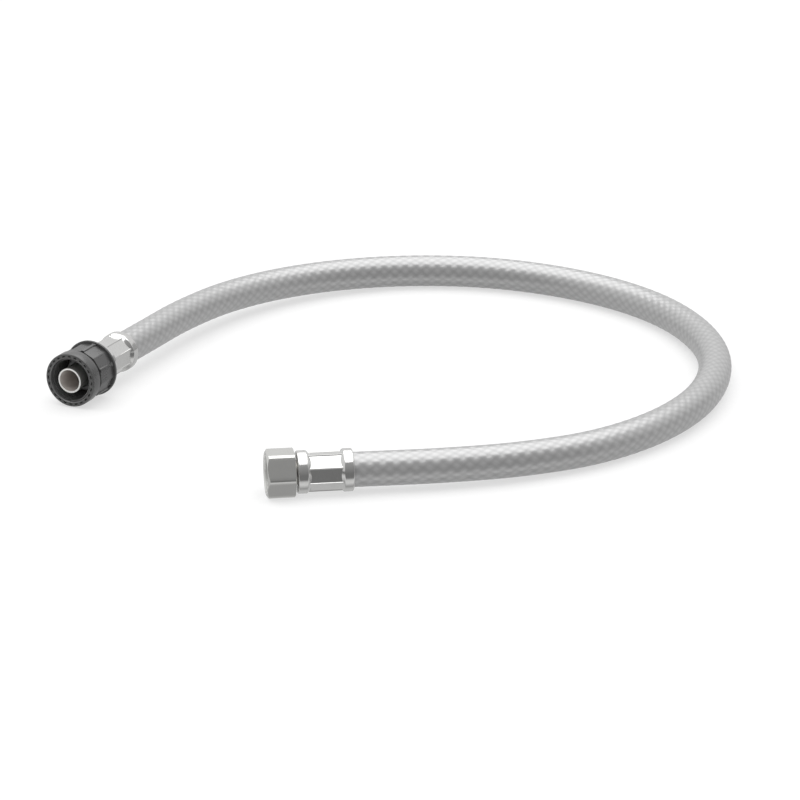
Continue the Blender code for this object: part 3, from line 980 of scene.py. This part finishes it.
@dataclass
class Fitting:
    """One end of the hose: what both ends share, and how their pieces are laid and dressed.

    Heights run from the joint face towards the hose.
    """

    effects: Effects
    threads: bpy.types.NodeTree
    joint: str
    nut_body: Body
    length: float
    bore: float
    thread_crest: float
    thread_pitch: float
    thread_in: float
    thread_turns: float
    tube_radius: float
    nut_to_ferrule: float
    start: float = 0.0
    back_wall: float = 2.6 * MM
    flange: float = 2.2 * MM
    stem_bore: float = 3.4 * MM
    ferrule_turn: float = 0.0
    gap: float = 0.3 * MM
    ferrule: Ferrule = Ferrule()
    place: Place = field(init=False)
    materials: dict[Finish, bpy.types.Material] = field(init=False, default_factory=dict)

    def __post_init__(self) -> None:
        """Take the fitting's place from the nut's joint."""
        self.place = Place.of_joint(self.joint)

    @property
    def ferrule_at(self) -> float:
        """Height of the ferrule's front end."""
        return self.start + self.length + self.nut_to_ferrule

    def flange_span(self) -> Point:
        """Heights of the front and back of the flange, which lies against the nut's back wall."""
        back = self.start + self.length - self.back_wall - self.gap
        return back - self.flange, back

    def hose_span(self, inset: float) -> Point:
        """Find where the hose is inside the ferrule.

        Args:
            inset: how far inside the ferrule's rim the hose has its full size.
        Returns:
            Heights of the hose's end, by the stem's land, and of its full size.
        """
        end = self.ferrule_at + Tail.lip + Tail.land_length + Tail.gap
        return end, self.ferrule_at + self.ferrule.length - inset

    def material(self, finish: Finish) -> bpy.types.Material:
        """Material of a finish on this fitting, made when it is first asked for."""
        if finish not in self.materials:
            self.materials[finish] = finish.build(self.effects, self.place)
        return self.materials[finish]

    def lay(
        self, mesh: bpy.types.Mesh, body: Body, slot: Slot, finishes: Sequence[Finish],
        *nodes: str,
    ) -> None:
        """Lay a mesh at the fitting's place, finish it and put it in the scene.

        Args:
            mesh: a mesh with the piece's name, on the fitting's own axes.
            body: the CAD body that it rides on.
            slot: the record's material slot, handed on to piece.
            finishes: its finishes in the order of the faces' material numbers, none if its
                tree has dressed it.
            nodes: the CAD nodes that it stands for.
        """
        mesh.transform(self.place.matrix())
        for finish in finishes:
            mesh.materials.append(self.material(finish))
        mesh.shade_smooth()
        mesh.set_sharp_from_angle(angle=SHARP_ANGLE)
        piece(mesh.name, mesh, body, slot, *nodes)

    def lay_thread(self, name: str, slot: Slot, finish: Finish) -> None:
        """Lay the nut's inside thread in it.

        Args:
            name: the piece's name.
            slot: the nut's material slot.
            finish: the thread's finish.
        """
        thread = Thread(
            self.bore, self.thread_crest, self.thread_pitch, self.start + self.thread_in,
            self.thread_turns,
        )
        ridge = thread.mesh(name, self.threads, self.material(finish))
        self.lay(ridge, self.nut_body, slot, ())

    def lay_ferrule(self, name: str, node: str) -> None:
        """Lay the ferrule on the stem, in place of its CAD node."""
        sleeve = self.ferrule.mesh(name, self.ferrule_at, self.ferrule_turn)
        self.lay(sleeve, Body.HOSE, Slot.FERRULE, (PRESSED_STEEL,), node)


@dataclass
class FrontFitting(Fitting):
    """Plated hexagonal union nut with its stem, gasket and ferrule."""

    joint: str = "front_nut_spin"
    nut_body: Body = Body.FRONT_NUT
    length: float = 12.1 * MM
    bore: float = 8.2 * MM
    thread_crest: float = 7.5 * MM
    thread_pitch: float = 1.337 * MM
    thread_in: float = 0.5 * MM
    thread_turns: float = 3.0
    tube_radius: float = 5.6 * MM
    nut_to_ferrule: float = 0.8 * MM
    section: RoundedPolygon = RoundedPolygon(
        6, 9.5 * MM, 1.7 * MM, roll_radius=9.0 * MM, roll_turn=math.radians(8)
    )
    face_radius: float = 9.3 * MM
    back_radius: float = 10.2 * MM
    chamfer: float = math.radians(35)
    hole: float = 5.9 * MM
    mouth: float = 8.8 * MM
    edge: float = 0.14 * MM
    ferrule_turn: float = math.radians(-4.5)
    flange_radius: float = 7.2 * MM
    gasket: float = 2.0 * MM
    gasket_bore: float = 4.5 * MM

    def nut_outline(self, angle: float) -> list[Point]:
        """Draw the closed outline of the nut at an angle.

        Args:
            angle: direction from the axis, 0 at the middle of a flat.
        Returns:
            The outline's points.
        """
        outer = self.section.radius(angle)
        drop = (outer - self.face_radius) * math.tan(self.chamfer)
        back = min(outer, self.back_radius)
        back_drop = (outer - back) * math.tan(self.chamfer) + self.edge / 2
        socket_end = self.length - self.back_wall
        return filleted([
            (self.mouth, 0, self.edge), (self.face_radius, 0, self.edge),
            (outer, drop, self.edge), (outer, self.length - back_drop, self.edge / 4),
            (back - self.edge / 2, self.length, self.edge / 4),
            (self.hole, self.length, self.edge),
            (self.hole, socket_end, self.edge), (self.bore, socket_end, self.edge),
            (self.bore, self.mouth - self.bore, 0),
        ])

    def build(self) -> None:
        """Make and dress the fitting's pieces."""
        nut = skinned("hexagonal_nut", around(self.section.angles()), self.nut_outline)
        inside = self.mouth - self.edge
        finishes = (NICKEL, DULL_NICKEL)
        dress_where(
            nut, finishes.index(DULL_NICKEL),
            lambda radius, height: radius < inside and height > self.edge,
        )
        self.lay(nut, self.nut_body, Slot.NICKEL, finishes, "front_union_nut")
        self.lay_thread("hexagonal_nut_thread", Slot.NICKEL, DULL_NICKEL)

        front, back = self.flange_span()
        tail = Tail(self.tube_radius).corners(self.ferrule_at)
        stem = turned("front_tail", [
            (self.flange_radius, front, self.edge), (self.flange_radius, back, self.edge),
            (self.tube_radius, back, 0), *tail, (self.stem_bore, tail[-1][1], 0),
            (self.stem_bore, front, self.edge),
        ])
        self.lay(stem, Body.HOSE, Slot.BRASS, (TURNED_BRASS,), "front_stem")
        gasket_back = front - self.gap
        gasket_front = gasket_back - self.gasket
        gasket = turned("flat_gasket", [
            (self.flange_radius, gasket_front, self.edge),
            (self.flange_radius, gasket_back, self.edge),
            (self.gasket_bore, gasket_back, self.edge),
            (self.gasket_bore, gasket_front, self.edge),
        ])
        self.lay(gasket, Body.HOSE, Slot.SEAL, (GREY_RUBBER,), "front_gasket")
        self.lay_ferrule("front_sleeve", "front_ferrule")


@dataclass
class RearFitting(Fitting):
    """Black moulded hand nut round a steel tube end, with its seal and ferrule."""

    joint: str = "rear_nut_spin"
    nut_body: Body = Body.REAR_NUT
    length: float = 20.0 * MM
    bore: float = 10.1 * MM
    thread_crest: float = 9.3 * MM
    thread_pitch: float = 1.814 * MM
    thread_in: float = 0.9 * MM
    thread_turns: float = 4.5
    tube_radius: float = 5.7 * MM
    nut_to_ferrule: float = 2.3 * MM
    start: float = 0.5 * MM
    mouth: float = 10.45 * MM
    hole: float = 6.0 * MM
    collar_radius: float = 12.3 * MM
    collar_length: float = 5.8 * MM
    collar_round: float = 0.8 * MM
    rear_radius: float = 12.75 * MM
    rear_length: float = 1.3 * MM
    section: RoundedPolygon = RoundedPolygon(12, 11.45 * MM, 0.5 * MM, bend_steps=3)
    ribs: int = 6
    rib_radius: float = 12.2 * MM
    rib_width: float = 1.1 * MM
    rib_flank: float = 0.35 * MM
    foot_width: float = 1.9 * MM
    foot_length: float = 1.4 * MM
    turn: float = math.radians(-4)
    groove_radius: float = 10.9 * MM
    groove_width: float = 2.0 * MM
    slots: int = 24
    slot_share: float = 0.5
    slot_in: float = 10.8 * MM
    slot_out: float = 11.4 * MM
    slot_depth: float = 0.9 * MM
    edge: float = 0.1 * MM
    tube_bore: float = 4.95 * MM
    tube_round: float = 0.2 * MM
    flange_radius: float = 9.0 * MM
    seal: float = 3.4 * MM
    seal_nose: float = 7.5 * MM
    seal_cone: float = 2.0 * MM
    hair: float = 1e-5

    def rib_offset(self, angle: float) -> float:
        """Measure along the rim to the nearest rib.

        Args:
            angle: direction from the axis, 0 at the middle of a flat.
        Returns:
            Distance from the middle of the rib.
        """
        step = math.tau / self.ribs
        first = math.pi / self.section.sides
        return abs(math.remainder(angle - first, step)) * self.rib_radius

    def in_slot(self, angle: float) -> bool:
        """True where the groove in the face is open."""
        return (angle / math.tau * self.slots) % 1.0 < self.slot_share

    def nut_angles(self) -> list[float]:
        """Find angles that catch every flat, rib edge, foot edge and slot end.

        Returns:
            The angles in rising order, with a close pair at each sudden step.
        """
        widths = (self.rib_width, self.rib_width + 2 * self.rib_flank, self.foot_width)
        halves = [width / 2 / self.rib_radius for width in widths]
        edges = []
        for rib in range(self.ribs):
            middle = math.pi / self.section.sides + math.tau * rib / self.ribs
            edges += [middle + side * half for half in halves for side in (-1, 1)]
        for slot in range(self.slots):
            edges += [math.tau * end / self.slots for end in (slot, slot + self.slot_share)]
        steps = [edge + nudge * self.hair for edge in edges for nudge in (-1, 1)]
        return around(self.section.angles(), steps)

    def nut_outline(self, angle: float) -> list[Point]:
        """Draw the closed outline of the hand nut at an angle.

        Args:
            angle: direction from the axis, 0 at the middle of a flat.
        Returns:
            The outline's points.
        """
        side = self.section.radius(angle)
        offset = self.rib_offset(angle)
        past_crest = max(offset - self.rib_width / 2, 0.0)
        body = self.rib_radius - (self.rib_radius - side) * min(past_crest / self.rib_flank, 1.0)
        foot = self.rib_radius if offset < self.foot_width / 2 else side
        low = self.start
        floor = low + (self.slot_depth if self.in_slot(angle) else 0.0)
        collar_end = low + self.collar_length
        body_at = collar_end + self.groove_width
        end = low + self.length
        rear_at = end - self.rear_length
        foot_at = rear_at - self.foot_length
        socket_end = end - self.back_wall
        return filleted([
            (self.mouth, low, self.edge), (self.slot_in, low, 0), (self.slot_in, floor, 0),
            (self.slot_out, floor, 0), (self.slot_out, low, 0),
            (self.collar_radius, low, self.collar_round),
            (self.collar_radius, collar_end, 2 * self.edge),
            (self.groove_radius, collar_end, 0), (self.groove_radius, body_at, 0),
            (body, body_at, self.edge), (body, foot_at, 0), (foot, foot_at, 0),
            (foot, rear_at, 0), (self.rear_radius, rear_at, 2 * self.edge),
            (self.rear_radius, end, 4 * self.edge), (self.hole, end, self.edge),
            (self.hole, socket_end, 0), (self.bore, socket_end, 2 * self.edge),
            (self.bore, low + self.mouth - self.bore, 0),
        ])

    def build(self) -> None:
        """Make and dress the fitting's pieces."""
        nut = skinned("hand_nut", self.nut_angles(), self.nut_outline)
        nut.transform(Matrix.Rotation(self.turn, 4, "Z"))
        inside = self.mouth - self.edge
        # The socket's inside faces get the lighter plastic: painted light inside the nut.
        finishes = (BLACK_PLASTIC, PLASTIC_PAINTED_LIGHTER)
        dress_where(
            nut, finishes.index(PLASTIC_PAINTED_LIGHTER), lambda radius, height: radius < inside
        )
        self.lay(nut, self.nut_body, Slot.PLASTIC, finishes, "rear_union_nut")
        self.lay_thread("hand_nut_thread", Slot.PLASTIC, PLASTIC_PAINTED_LIGHTER)

        front, back = self.flange_span()
        tail = Tail(self.tube_radius).corners(self.ferrule_at)
        stem = turned("tube_end", [
            (self.tube_radius, 0, self.tube_round), (self.tube_radius, front, 0),
            (self.flange_radius, front, self.edge), (self.flange_radius, back, self.edge),
            (self.tube_radius, back, 0), *tail, (self.stem_bore, tail[-1][1], 0),
            (self.stem_bore, back, 0), (self.tube_bore, front, 0),
            (self.tube_bore, 0, self.tube_round),
        ])
        rim = self.tube_round
        inside = self.tube_bore + rim
        finishes = (TUBE_STEEL, DULL_BORE, CUT_END_HIGHLIGHT)
        dress_where(
            stem, finishes.index(DULL_BORE),
            lambda radius, height: radius < inside and height > rim,
        )
        # The rounded cut end gets the light finish: a painted highlight.
        dress_where(stem, finishes.index(CUT_END_HIGHLIGHT), lambda radius, height: height < rim)
        self.lay(stem, Body.HOSE, Slot.TUBE, finishes, "rear_stem")
        seal_back = front - self.gap
        seal_front = seal_back - self.seal
        seal_radius = self.flange_radius - self.gap
        seal = turned("cone_seal", [
            (self.seal_nose, seal_front, self.edge),
            (seal_radius, seal_front + self.seal_cone, self.edge),
            (seal_radius, seal_back, self.edge), (self.hole, seal_back, self.edge),
            (self.hole, seal_front, self.edge),
        ])
        self.lay(seal, Body.HOSE, Slot.SEAL, (GREY_RUBBER,), "rear_seal")
        self.lay_ferrule("rear_sleeve", "rear_ferrule")


@dataclass(frozen=True)
class Hose:
    """Braided hose from one stem's land to the other's, squeezed inside both ferrules."""

    diameter: float = 15.0 * MM
    bore: float = 10.0 * MM
    squeezed: float = 13.6 * MM
    strands: int = 12
    divisions: int = 5
    pitch: float = 5.6 * MM
    relief: float = 0.18 * MM
    under: float = 0.4
    roundness: float = 3.0
    mouth_inset: float = 0.9 * MM
    swell: float = 2.5 * MM
    bore_sides: int = 24
    bore_step: float = 3.0 * MM
    samples: int = 24
    path_step: int = 10

    def route(self, front: Fitting, rear: Fitting) -> list[Vector]:
        """Points close together along the hose's middle line.

        Args:
            front: the fitting that the hose leaves.
            rear: the fitting that it goes back into.
        Returns:
            Points at nearly the braid's own step, from inside one ferrule to inside the other.
        """
        (first, leave), (last, arrive) = (
            [fitting.place.on_axis(at) for at in fitting.hose_span(self.mouth_inset)]
            for fitting in (front, rear)
        )
        radius = self.diameter / 2
        free = [Vector((x * MM, y * MM, radius + lift * MM)) for x, y, lift in HOSE_ROUTE]
        middle = smooth_through([first, leave, *free, arrive, last], self.samples)
        return evenly([first, *middle, last], self.pitch / 2 / self.divisions)

    def squeeze(self, points: Sequence[Vector], fitting: Fitting) -> list[float]:
        """Find how far the surface is pressed in at each point of the middle line.

        Args:
            points: the middle line.
            fitting: one fitting, whose ferrule is like the other's.
        Returns:
            Depths, full inside the ferrules and none from their mouths on.
        """
        end, mouth = fitting.hose_span(self.mouth_inset)
        step = (points[1] - points[0]).length
        depth = (self.diameter - self.squeezed) / 2
        last = len(points) - 1
        depths = []
        for index in range(len(points)):
            inside = mouth - end - min(index, last - index) * step
            depths.append(depth * min(max(inside / self.swell, 0.0), 1.0))
        return depths

    def tree(self) -> bpy.types.NodeTree:
        """Write the geometry tree that sweeps a ring of strands along a path and weaves them.

        Returns:
            The tree.
        """
        graph, given, wanted = new_tree("woven tube", TreeKind.SHAPE, {
            "Geometry": "Geometry", "Radius": "Float", "Strands": "Int", "Divisions": "Int",
            "Relief": "Float", "Bore": "Float", "Bore Sides": "Int", "Bore Step": "Float",
            "Material": "Material",
        }, {"Geometry": "Geometry"})
        path = graph.add("GeometryNodeMeshToCurve", {0: given["Geometry"]}).outputs[0]
        squeeze = graph.add("GeometryNodeInputNamedAttribute", {"Name": "squeeze"})
        line = graph.add("GeometryNodeCaptureAttribute")
        for kind, name in (
            ("VECTOR", "Centre"), ("VECTOR", "Way"), ("FLOAT", "Ring"), ("FLOAT", "Squeeze"),
        ):
            line.capture_items.new(kind, name)
        for index, value in enumerate((
            graph.upright(path), graph.add("GeometryNodeInputPosition").outputs[0],
            graph.add("GeometryNodeInputTangent").outputs[0],
            graph.add("GeometryNodeInputIndex").outputs[0], squeeze.outputs["Attribute"],
        )):
            graph.feed(line.inputs[index], value)
        centre, way, along, pressed = (line.outputs[index] for index in range(1, 5))

        spots = graph.math("MULTIPLY", given["Strands"], given["Divisions"])
        circle = graph.add("GeometryNodeCurvePrimitiveCircle", {
            "Resolution": spots, "Radius": given["Radius"],
        })
        ring = graph.add("GeometryNodeCaptureAttribute")
        ring.capture_items.new("FLOAT", "Spot")
        graph.feed(ring.inputs[0], circle.outputs[0])
        graph.feed(ring.inputs[1], graph.add("GeometryNodeInputIndex").outputs[0])
        sweep = graph.add("GeometryNodeCurveToMesh", {
            "Curve": line.outputs[0], "Profile Curve": ring.outputs[0],
        })

        odd = graph.math("FLOORED_MODULO", along, 2.0)
        spot = graph.math("MULTIPLY_ADD", odd, 0.5, ring.outputs[1])
        share = graph.math("DIVIDE", spot, given["Divisions"])
        drift = graph.math("DIVIDE", graph.math("DIVIDE", along, 2.0), given["Divisions"])
        height = self.woven(
            graph, graph.math("ADD", share, drift), graph.math("SUBTRACT", share, drift)
        )
        angle = graph.math("DIVIDE", graph.math("MULTIPLY", spot, math.tau), spots)
        half_step = graph.math("DIVIDE", graph.math("MULTIPLY", odd, math.pi), spots)
        swung = graph.add("ShaderNodeVectorRotate", {
            "Vector": graph.add("GeometryNodeInputPosition").outputs[0],
            "Center": centre, "Axis": way, "Angle": half_step,
        }).outputs[0]
        outward = graph.vector("NORMALIZE", graph.vector("SUBTRACT", swung, centre))
        lifted = graph.math("MULTIPLY", height, given["Relief"])
        rise = graph.add("ShaderNodeVectorMath", {
            0: outward, "Scale": graph.math("SUBTRACT", lifted, pressed),
        }, operation="SCALE")
        moved = graph.add("GeometryNodeSetPosition", {
            "Geometry": sweep.outputs[0],
            "Position": graph.vector("ADD", swung, rise.outputs[0]),
        })
        lay = graph.combine(graph.math("COSINE", angle), graph.math("SINE", angle), drift)
        placed = self.stored(graph, moved.outputs[0], "braid_place", "FLOAT_VECTOR", lay)
        raised = self.stored(graph, placed, "braid_height", "FLOAT", height)
        cut = graph.add(
            "GeometryNodeTriangulate", {0: raised}, quad_method="SHORTEST_DIAGONAL"
        )
        both = graph.add("GeometryNodeJoinGeometry")
        graph.feed(both.inputs[0], cut.outputs[0])
        graph.feed(both.inputs[0], self.bored(graph, path, given))
        graph.hand_out(both.outputs[0], given, wanted)
        return graph.tree

    @staticmethod
    def bored(graph: Graph, path: bpy.types.NodeSocket, given: Sockets) -> bpy.types.NodeSocket:
        """Make the wall of the bore.

        Args:
            graph: the tree to write to.
            path: the hose's middle line.
            given: the tree's inputs by name.
        Returns:
            The wall, which faces the middle line.
        """
        coarse = graph.add("GeometryNodeResampleCurve", {
            "Curve": path, "Length": given["Bore Step"],
        }, mode="LENGTH")
        circle = graph.add("GeometryNodeCurvePrimitiveCircle", {
            "Resolution": given["Bore Sides"], "Radius": given["Bore"],
        })
        wall = graph.add("GeometryNodeCurveToMesh", {
            "Curve": graph.upright(coarse.outputs[0]), "Profile Curve": circle.outputs[0],
        })
        return graph.add("GeometryNodeFlipFaces", {0: wall.outputs[0]}).outputs[0]

    @staticmethod
    def close_ends(mesh: bpy.types.Mesh, ends: Sequence[Vector], reach: float) -> None:
        """Join the surface and the bore's wall with a flat ring at each end.

        Args:
            mesh: the open tube.
            ends: the ends of its middle line.
            reach: how far from an end its open edges may lie.
        """
        shape = bmesh.new()
        shape.from_mesh(mesh)
        for end in ends:
            rims = [
                edge for edge in shape.edges
                if edge.is_boundary and (edge.verts[0].co - end).length < reach
            ]
            bmesh.ops.triangle_fill(shape, edges=rims, use_beauty=True)
        for face in shape.faces:
            face.material_index = 0
        closed(shape, mesh)

    @staticmethod
    def stored(
        graph: Graph, geometry: bpy.types.NodeSocket, name: str, kind: str,
        value: bpy.types.NodeSocket,
    ) -> bpy.types.NodeSocket:
        """Keep a value on the geometry's points.

        Args:
            graph: the tree to write to.
            geometry: what gets the value.
            name: the attribute's name.
            kind: Blender's name of its type.
            value: the value.
        Returns:
            The geometry with the attribute.
        """
        node = graph.add(
            "GeometryNodeStoreNamedAttribute",
            {"Geometry": geometry, "Name": name}, data_type=kind, domain="POINT",
        )
        graph.feed(node.inputs["Value"], value)
        return node.outputs[0]

    def woven(
        self, graph: Graph, first: bpy.types.NodeSocket, second: bpy.types.NodeSocket
    ) -> bpy.types.NodeSocket:
        """Find the height of the weave, from 0 to 1.

        Args:
            graph: the tree to write to.
            first: place across the strands that wind one way, 1 a strand.
            second: the same for those that wind the other way.
        Returns:
            The height. Each cell shows the strand on top, which dives under its neighbours.
        """
        middles, second_on_top = weave_cells(graph, first, second)
        off_first = graph.math("SUBTRACT", first, middles[0])
        off_second = graph.math("SUBTRACT", second, middles[1])
        across = graph.blend(second_on_top, off_first, off_second)
        along = graph.blend(second_on_top, off_second, off_first)

        def pad(offset: bpy.types.NodeSocket) -> bpy.types.NodeSocket:
            """Rounded top of a strand, 1 in its middle and 0 at its edges."""
            share = graph.math("MULTIPLY", graph.math("ABSOLUTE", offset), 2.0)
            return graph.math("SUBTRACT", 1.0, graph.math("POWER", share, self.roundness))

        wave = graph.math("COSINE", graph.math("MULTIPLY", along, math.pi))
        bow = graph.math("MULTIPLY_ADD", wave, 1 - self.under, self.under)
        crown = graph.math("MULTIPLY", pad(across), bow)
        return graph.math("MAXIMUM", crown, graph.math("MULTIPLY", pad(along), self.under))

    def build(self, front: Fitting, rear: Fitting) -> None:
        """Args:
            front: the fitting that the hose leaves.
            rear: the fitting that it goes back into.
        """
        points = self.route(front, rear)
        line = bpy.data.meshes.new("hose line")
        line.from_pydata(points, list(zip(range(len(points)), range(1, len(points)))), [])
        squeeze = line.attributes.new("squeeze", "FLOAT", "POINT")
        squeeze.data.foreach_set("value", self.squeeze(points, front))
        braid = BraidFinish(self.strands).build()
        mesh = grown("braided_hose", line, self.tree(), {
            "Radius": self.diameter / 2 - self.relief, "Strands": self.strands,
            "Divisions": self.divisions, "Relief": self.relief, "Bore": self.bore / 2,
            "Bore Sides": self.bore_sides, "Bore Step": self.bore_step, "Material": braid,
        })
        self.close_ends(mesh, (points[0], points[-1]), self.diameter)
        mesh.materials.clear()
        mesh.materials.append(braid)
        mesh.shade_smooth()
        hose = piece("braided_hose", mesh, Body.HOSE, Slot.HOSE, "hose")
        mouth = front.ferrule_at + front.ferrule.length
        tuple(front.place.on_axis(mouth))


def smooth_through(points: Sequence[Vector], samples: int) -> list[Vector]:
    """Draw a smooth curve through points.

    Args:
        points: the points. The first and the last only set the curve's direction.
        samples: steps from one point to the next.
    Returns:
        Points on the curve.
    """
    dense = []
    for before, start, end, after in zip(points, points[1:], points[2:], points[3:]):
        lead = (start - before).length ** 0.5
        span = (end - start).length ** 0.5
        trail = (after - end).length ** 0.5
        leave = (start - before) / lead - (end - before) / (lead + span) + (end - start) / span
        arrive = (end - start) / span - (after - start) / (span + trail) + (after - end) / trail
        leave *= span
        arrive *= span
        for step in range(samples):
            on = step / samples
            dense.append(
                start * (2 * on**3 - 3 * on**2 + 1) + leave * (on**3 - 2 * on**2 + on)
                + end * (3 * on**2 - 2 * on**3) + arrive * (on**3 - on**2)
            )
    return dense + [points[-2]]


def evenly(points: Sequence[Vector], spacing: float) -> list[Vector]:
    """Lay points at equal steps along a line of points.

    Args:
        points: the line.
        spacing: the wanted step, which the line's length is fitted to.
    Returns:
        The points, with both ends of the line.
    """
    along = [0.0]
    for start, end in zip(points, points[1:]):
        along.append(along[-1] + (end - start).length)
    pieces = round(along[-1] / spacing)
    spaced = []
    index = 0
    for step in range(pieces + 1):
        wanted = along[-1] * step / pieces
        while index < len(along) - 2 and along[index + 1] < wanted:
            index += 1
        share = (wanted - along[index]) / (along[index + 1] - along[index])
        spaced.append(points[index].lerp(points[index + 1], share))
    return spaced


@dataclass(frozen=True)
class Studio:
    """Camera, floor and soft light.

    The camera sees a white floor with a faint shadow and a white background. What shiny pieces see
    below them is a light table. Its level changes with the angle, from the far horizon at 0 degrees
    and straight down at 90 to the darker side of the camera at 180. Above the horizon they see a
    light wall behind the object, a dark one on the camera's side and a grey card low on the right.
    """

    camera_at: tuple[float, float, float] = (-145.27 * MM, -1687.25 * MM, 615.37 * MM)
    camera_down: float = math.radians(19.5)
    camera_turn: float = math.radians(-8.0)
    lens: float = 185.066
    sight: float = 100.0
    floor_radius: float = 6.0
    floor_sides: int = 96
    floor_colour: Colour = (0.94, 0.94, 0.94)
    floor_seen: Colour = (0.42, 0.42, 0.42)
    floor_glow: float = 0.60
    floor_roughness: float = 0.9
    floor_level: float = -0.02 * MM
    table_levels: tuple[Point, ...] = (
        (0.0, 0.60), (22.0, 0.60), (40.0, 0.56), (80.0, 0.58), (100.0, 0.36), (112.0, 0.55),
        (125.0, 0.75), (142.0, 0.70), (155.0, 0.20),
    )
    fill: float = 0.52
    room_front: float = 0.20
    room_rise: float = 0.20
    room_back: float = 0.78
    room_right: float = 0.40
    back_edge: Point = (-0.55, -0.15)
    right_edge: Point = (0.76, 0.84)
    low_edge: Point = (0.34, 0.26)
    lamp_strength: float = 1.9
    lamp_angle: float = math.radians(84)
    lamp_tilt: float = math.radians(-12)

    def build(self) -> None:
        """Set up the studio."""
        scene = bpy.context.scene
        data = bpy.data.cameras.new("camera")
        data.lens = self.lens
        data.clip_end = self.sight
        camera = bpy.data.objects.new("camera", data)
        camera.location = self.camera_at
        camera.rotation_euler = (math.pi / 2 - self.camera_down, 0.0, self.camera_turn)
        scene.collection.objects.link(camera)
        scene.camera = camera
        scene.view_settings.view_transform = "Standard"

        mesh = bpy.data.meshes.new("floor")
        shape = bmesh.new()
        bmesh.ops.create_circle(
            shape, cap_ends=True, segments=self.floor_sides, radius=self.floor_radius
        )
        shape.to_mesh(mesh)
        shape.free()
        mesh.transform(Matrix.Translation((0.0, 0.0, self.floor_level)))
        mesh.materials.append(self.table())
        floor = bpy.data.objects.new("floor", mesh)
        floor.visible_glossy = False
        scene.collection.objects.link(floor)

        sun = bpy.data.lights.new("overhead softbox", "SUN")
        sun.energy = self.lamp_strength
        sun.angle = self.lamp_angle
        lamp = bpy.data.objects.new("overhead softbox", sun)
        lamp.rotation_euler = (self.lamp_tilt, 0.0, 0.0)
        scene.collection.objects.link(lamp)
        self.room(scene)

    def table(self) -> bpy.types.Material:
        """Make the floor's material: matt white, with a faint shadow to the camera.

        Returns:
            The material.
        """
        material, graph, shader = new_material("matt floor")
        material.cycles.emission_sampling = "NONE"
        camera = graph.add("ShaderNodeLightPath").outputs["Is Camera Ray"]
        graph.feed_all(shader, {
            "Base Color": graph.mix(camera, self.floor_colour, self.floor_seen),
            "Roughness": self.floor_roughness, "Specular IOR Level": 0.0,
            "Emission Color": (1.0, 1.0, 1.0, 1.0),
            "Emission Strength": graph.math("MULTIPLY", camera, self.floor_glow),
        })
        return material

    def room(self, scene: bpy.types.Scene) -> None:
        """Light the room with an even fill, in which shiny pieces see cards and a light table.

        Args:
            scene: the scene that gets the world.
        """
        world = bpy.data.worlds.new("studio")
        world.use_nodes = True
        graph = Graph(world.node_tree)
        way = graph.add("ShaderNodeSeparateXYZ", {
            0: graph.add("ShaderNodeTexCoord").outputs["Generated"],
        })
        across, depth, up = way.outputs
        front = graph.math("MULTIPLY_ADD", up, self.room_rise, self.room_front)
        seen = graph.blend(graph.smooth_step(depth, *self.back_edge), front, self.room_back)
        right = graph.smooth_step(across, *self.right_edge)
        card = graph.math("MULTIPLY", right, graph.smooth_step(up, *self.low_edge))
        seen = graph.blend(card, seen, self.room_right)
        down = graph.math("MULTIPLY", up, -1.0)
        table = graph.levels(graph.math("ARCTAN2", down, depth), self.table_levels)
        seen = graph.blend(graph.math("GREATER_THAN", down, 0.0), seen, table)
        rays = graph.add("ShaderNodeLightPath")
        level = graph.blend(rays.outputs["Is Glossy Ray"], self.fill, seen)
        level = graph.blend(rays.outputs["Is Camera Ray"], level, 1.0)
        graph.feed(world.node_tree.nodes["Background"].inputs["Color"], level)
        scene.world = world


def main() -> None:
    """Build the studio, the hose and its fittings."""
    logging.basicConfig(level=logging.INFO, format="%(message)s")
    Studio().build()
    effects = Effects()
    threads = Thread.tree()
    front = FrontFitting(effects, threads)
    rear = RearFitting(effects, threads)
    Hose().build(front, rear)
    front.build()
    rear.build()


if __name__ == "__main__":
    main()
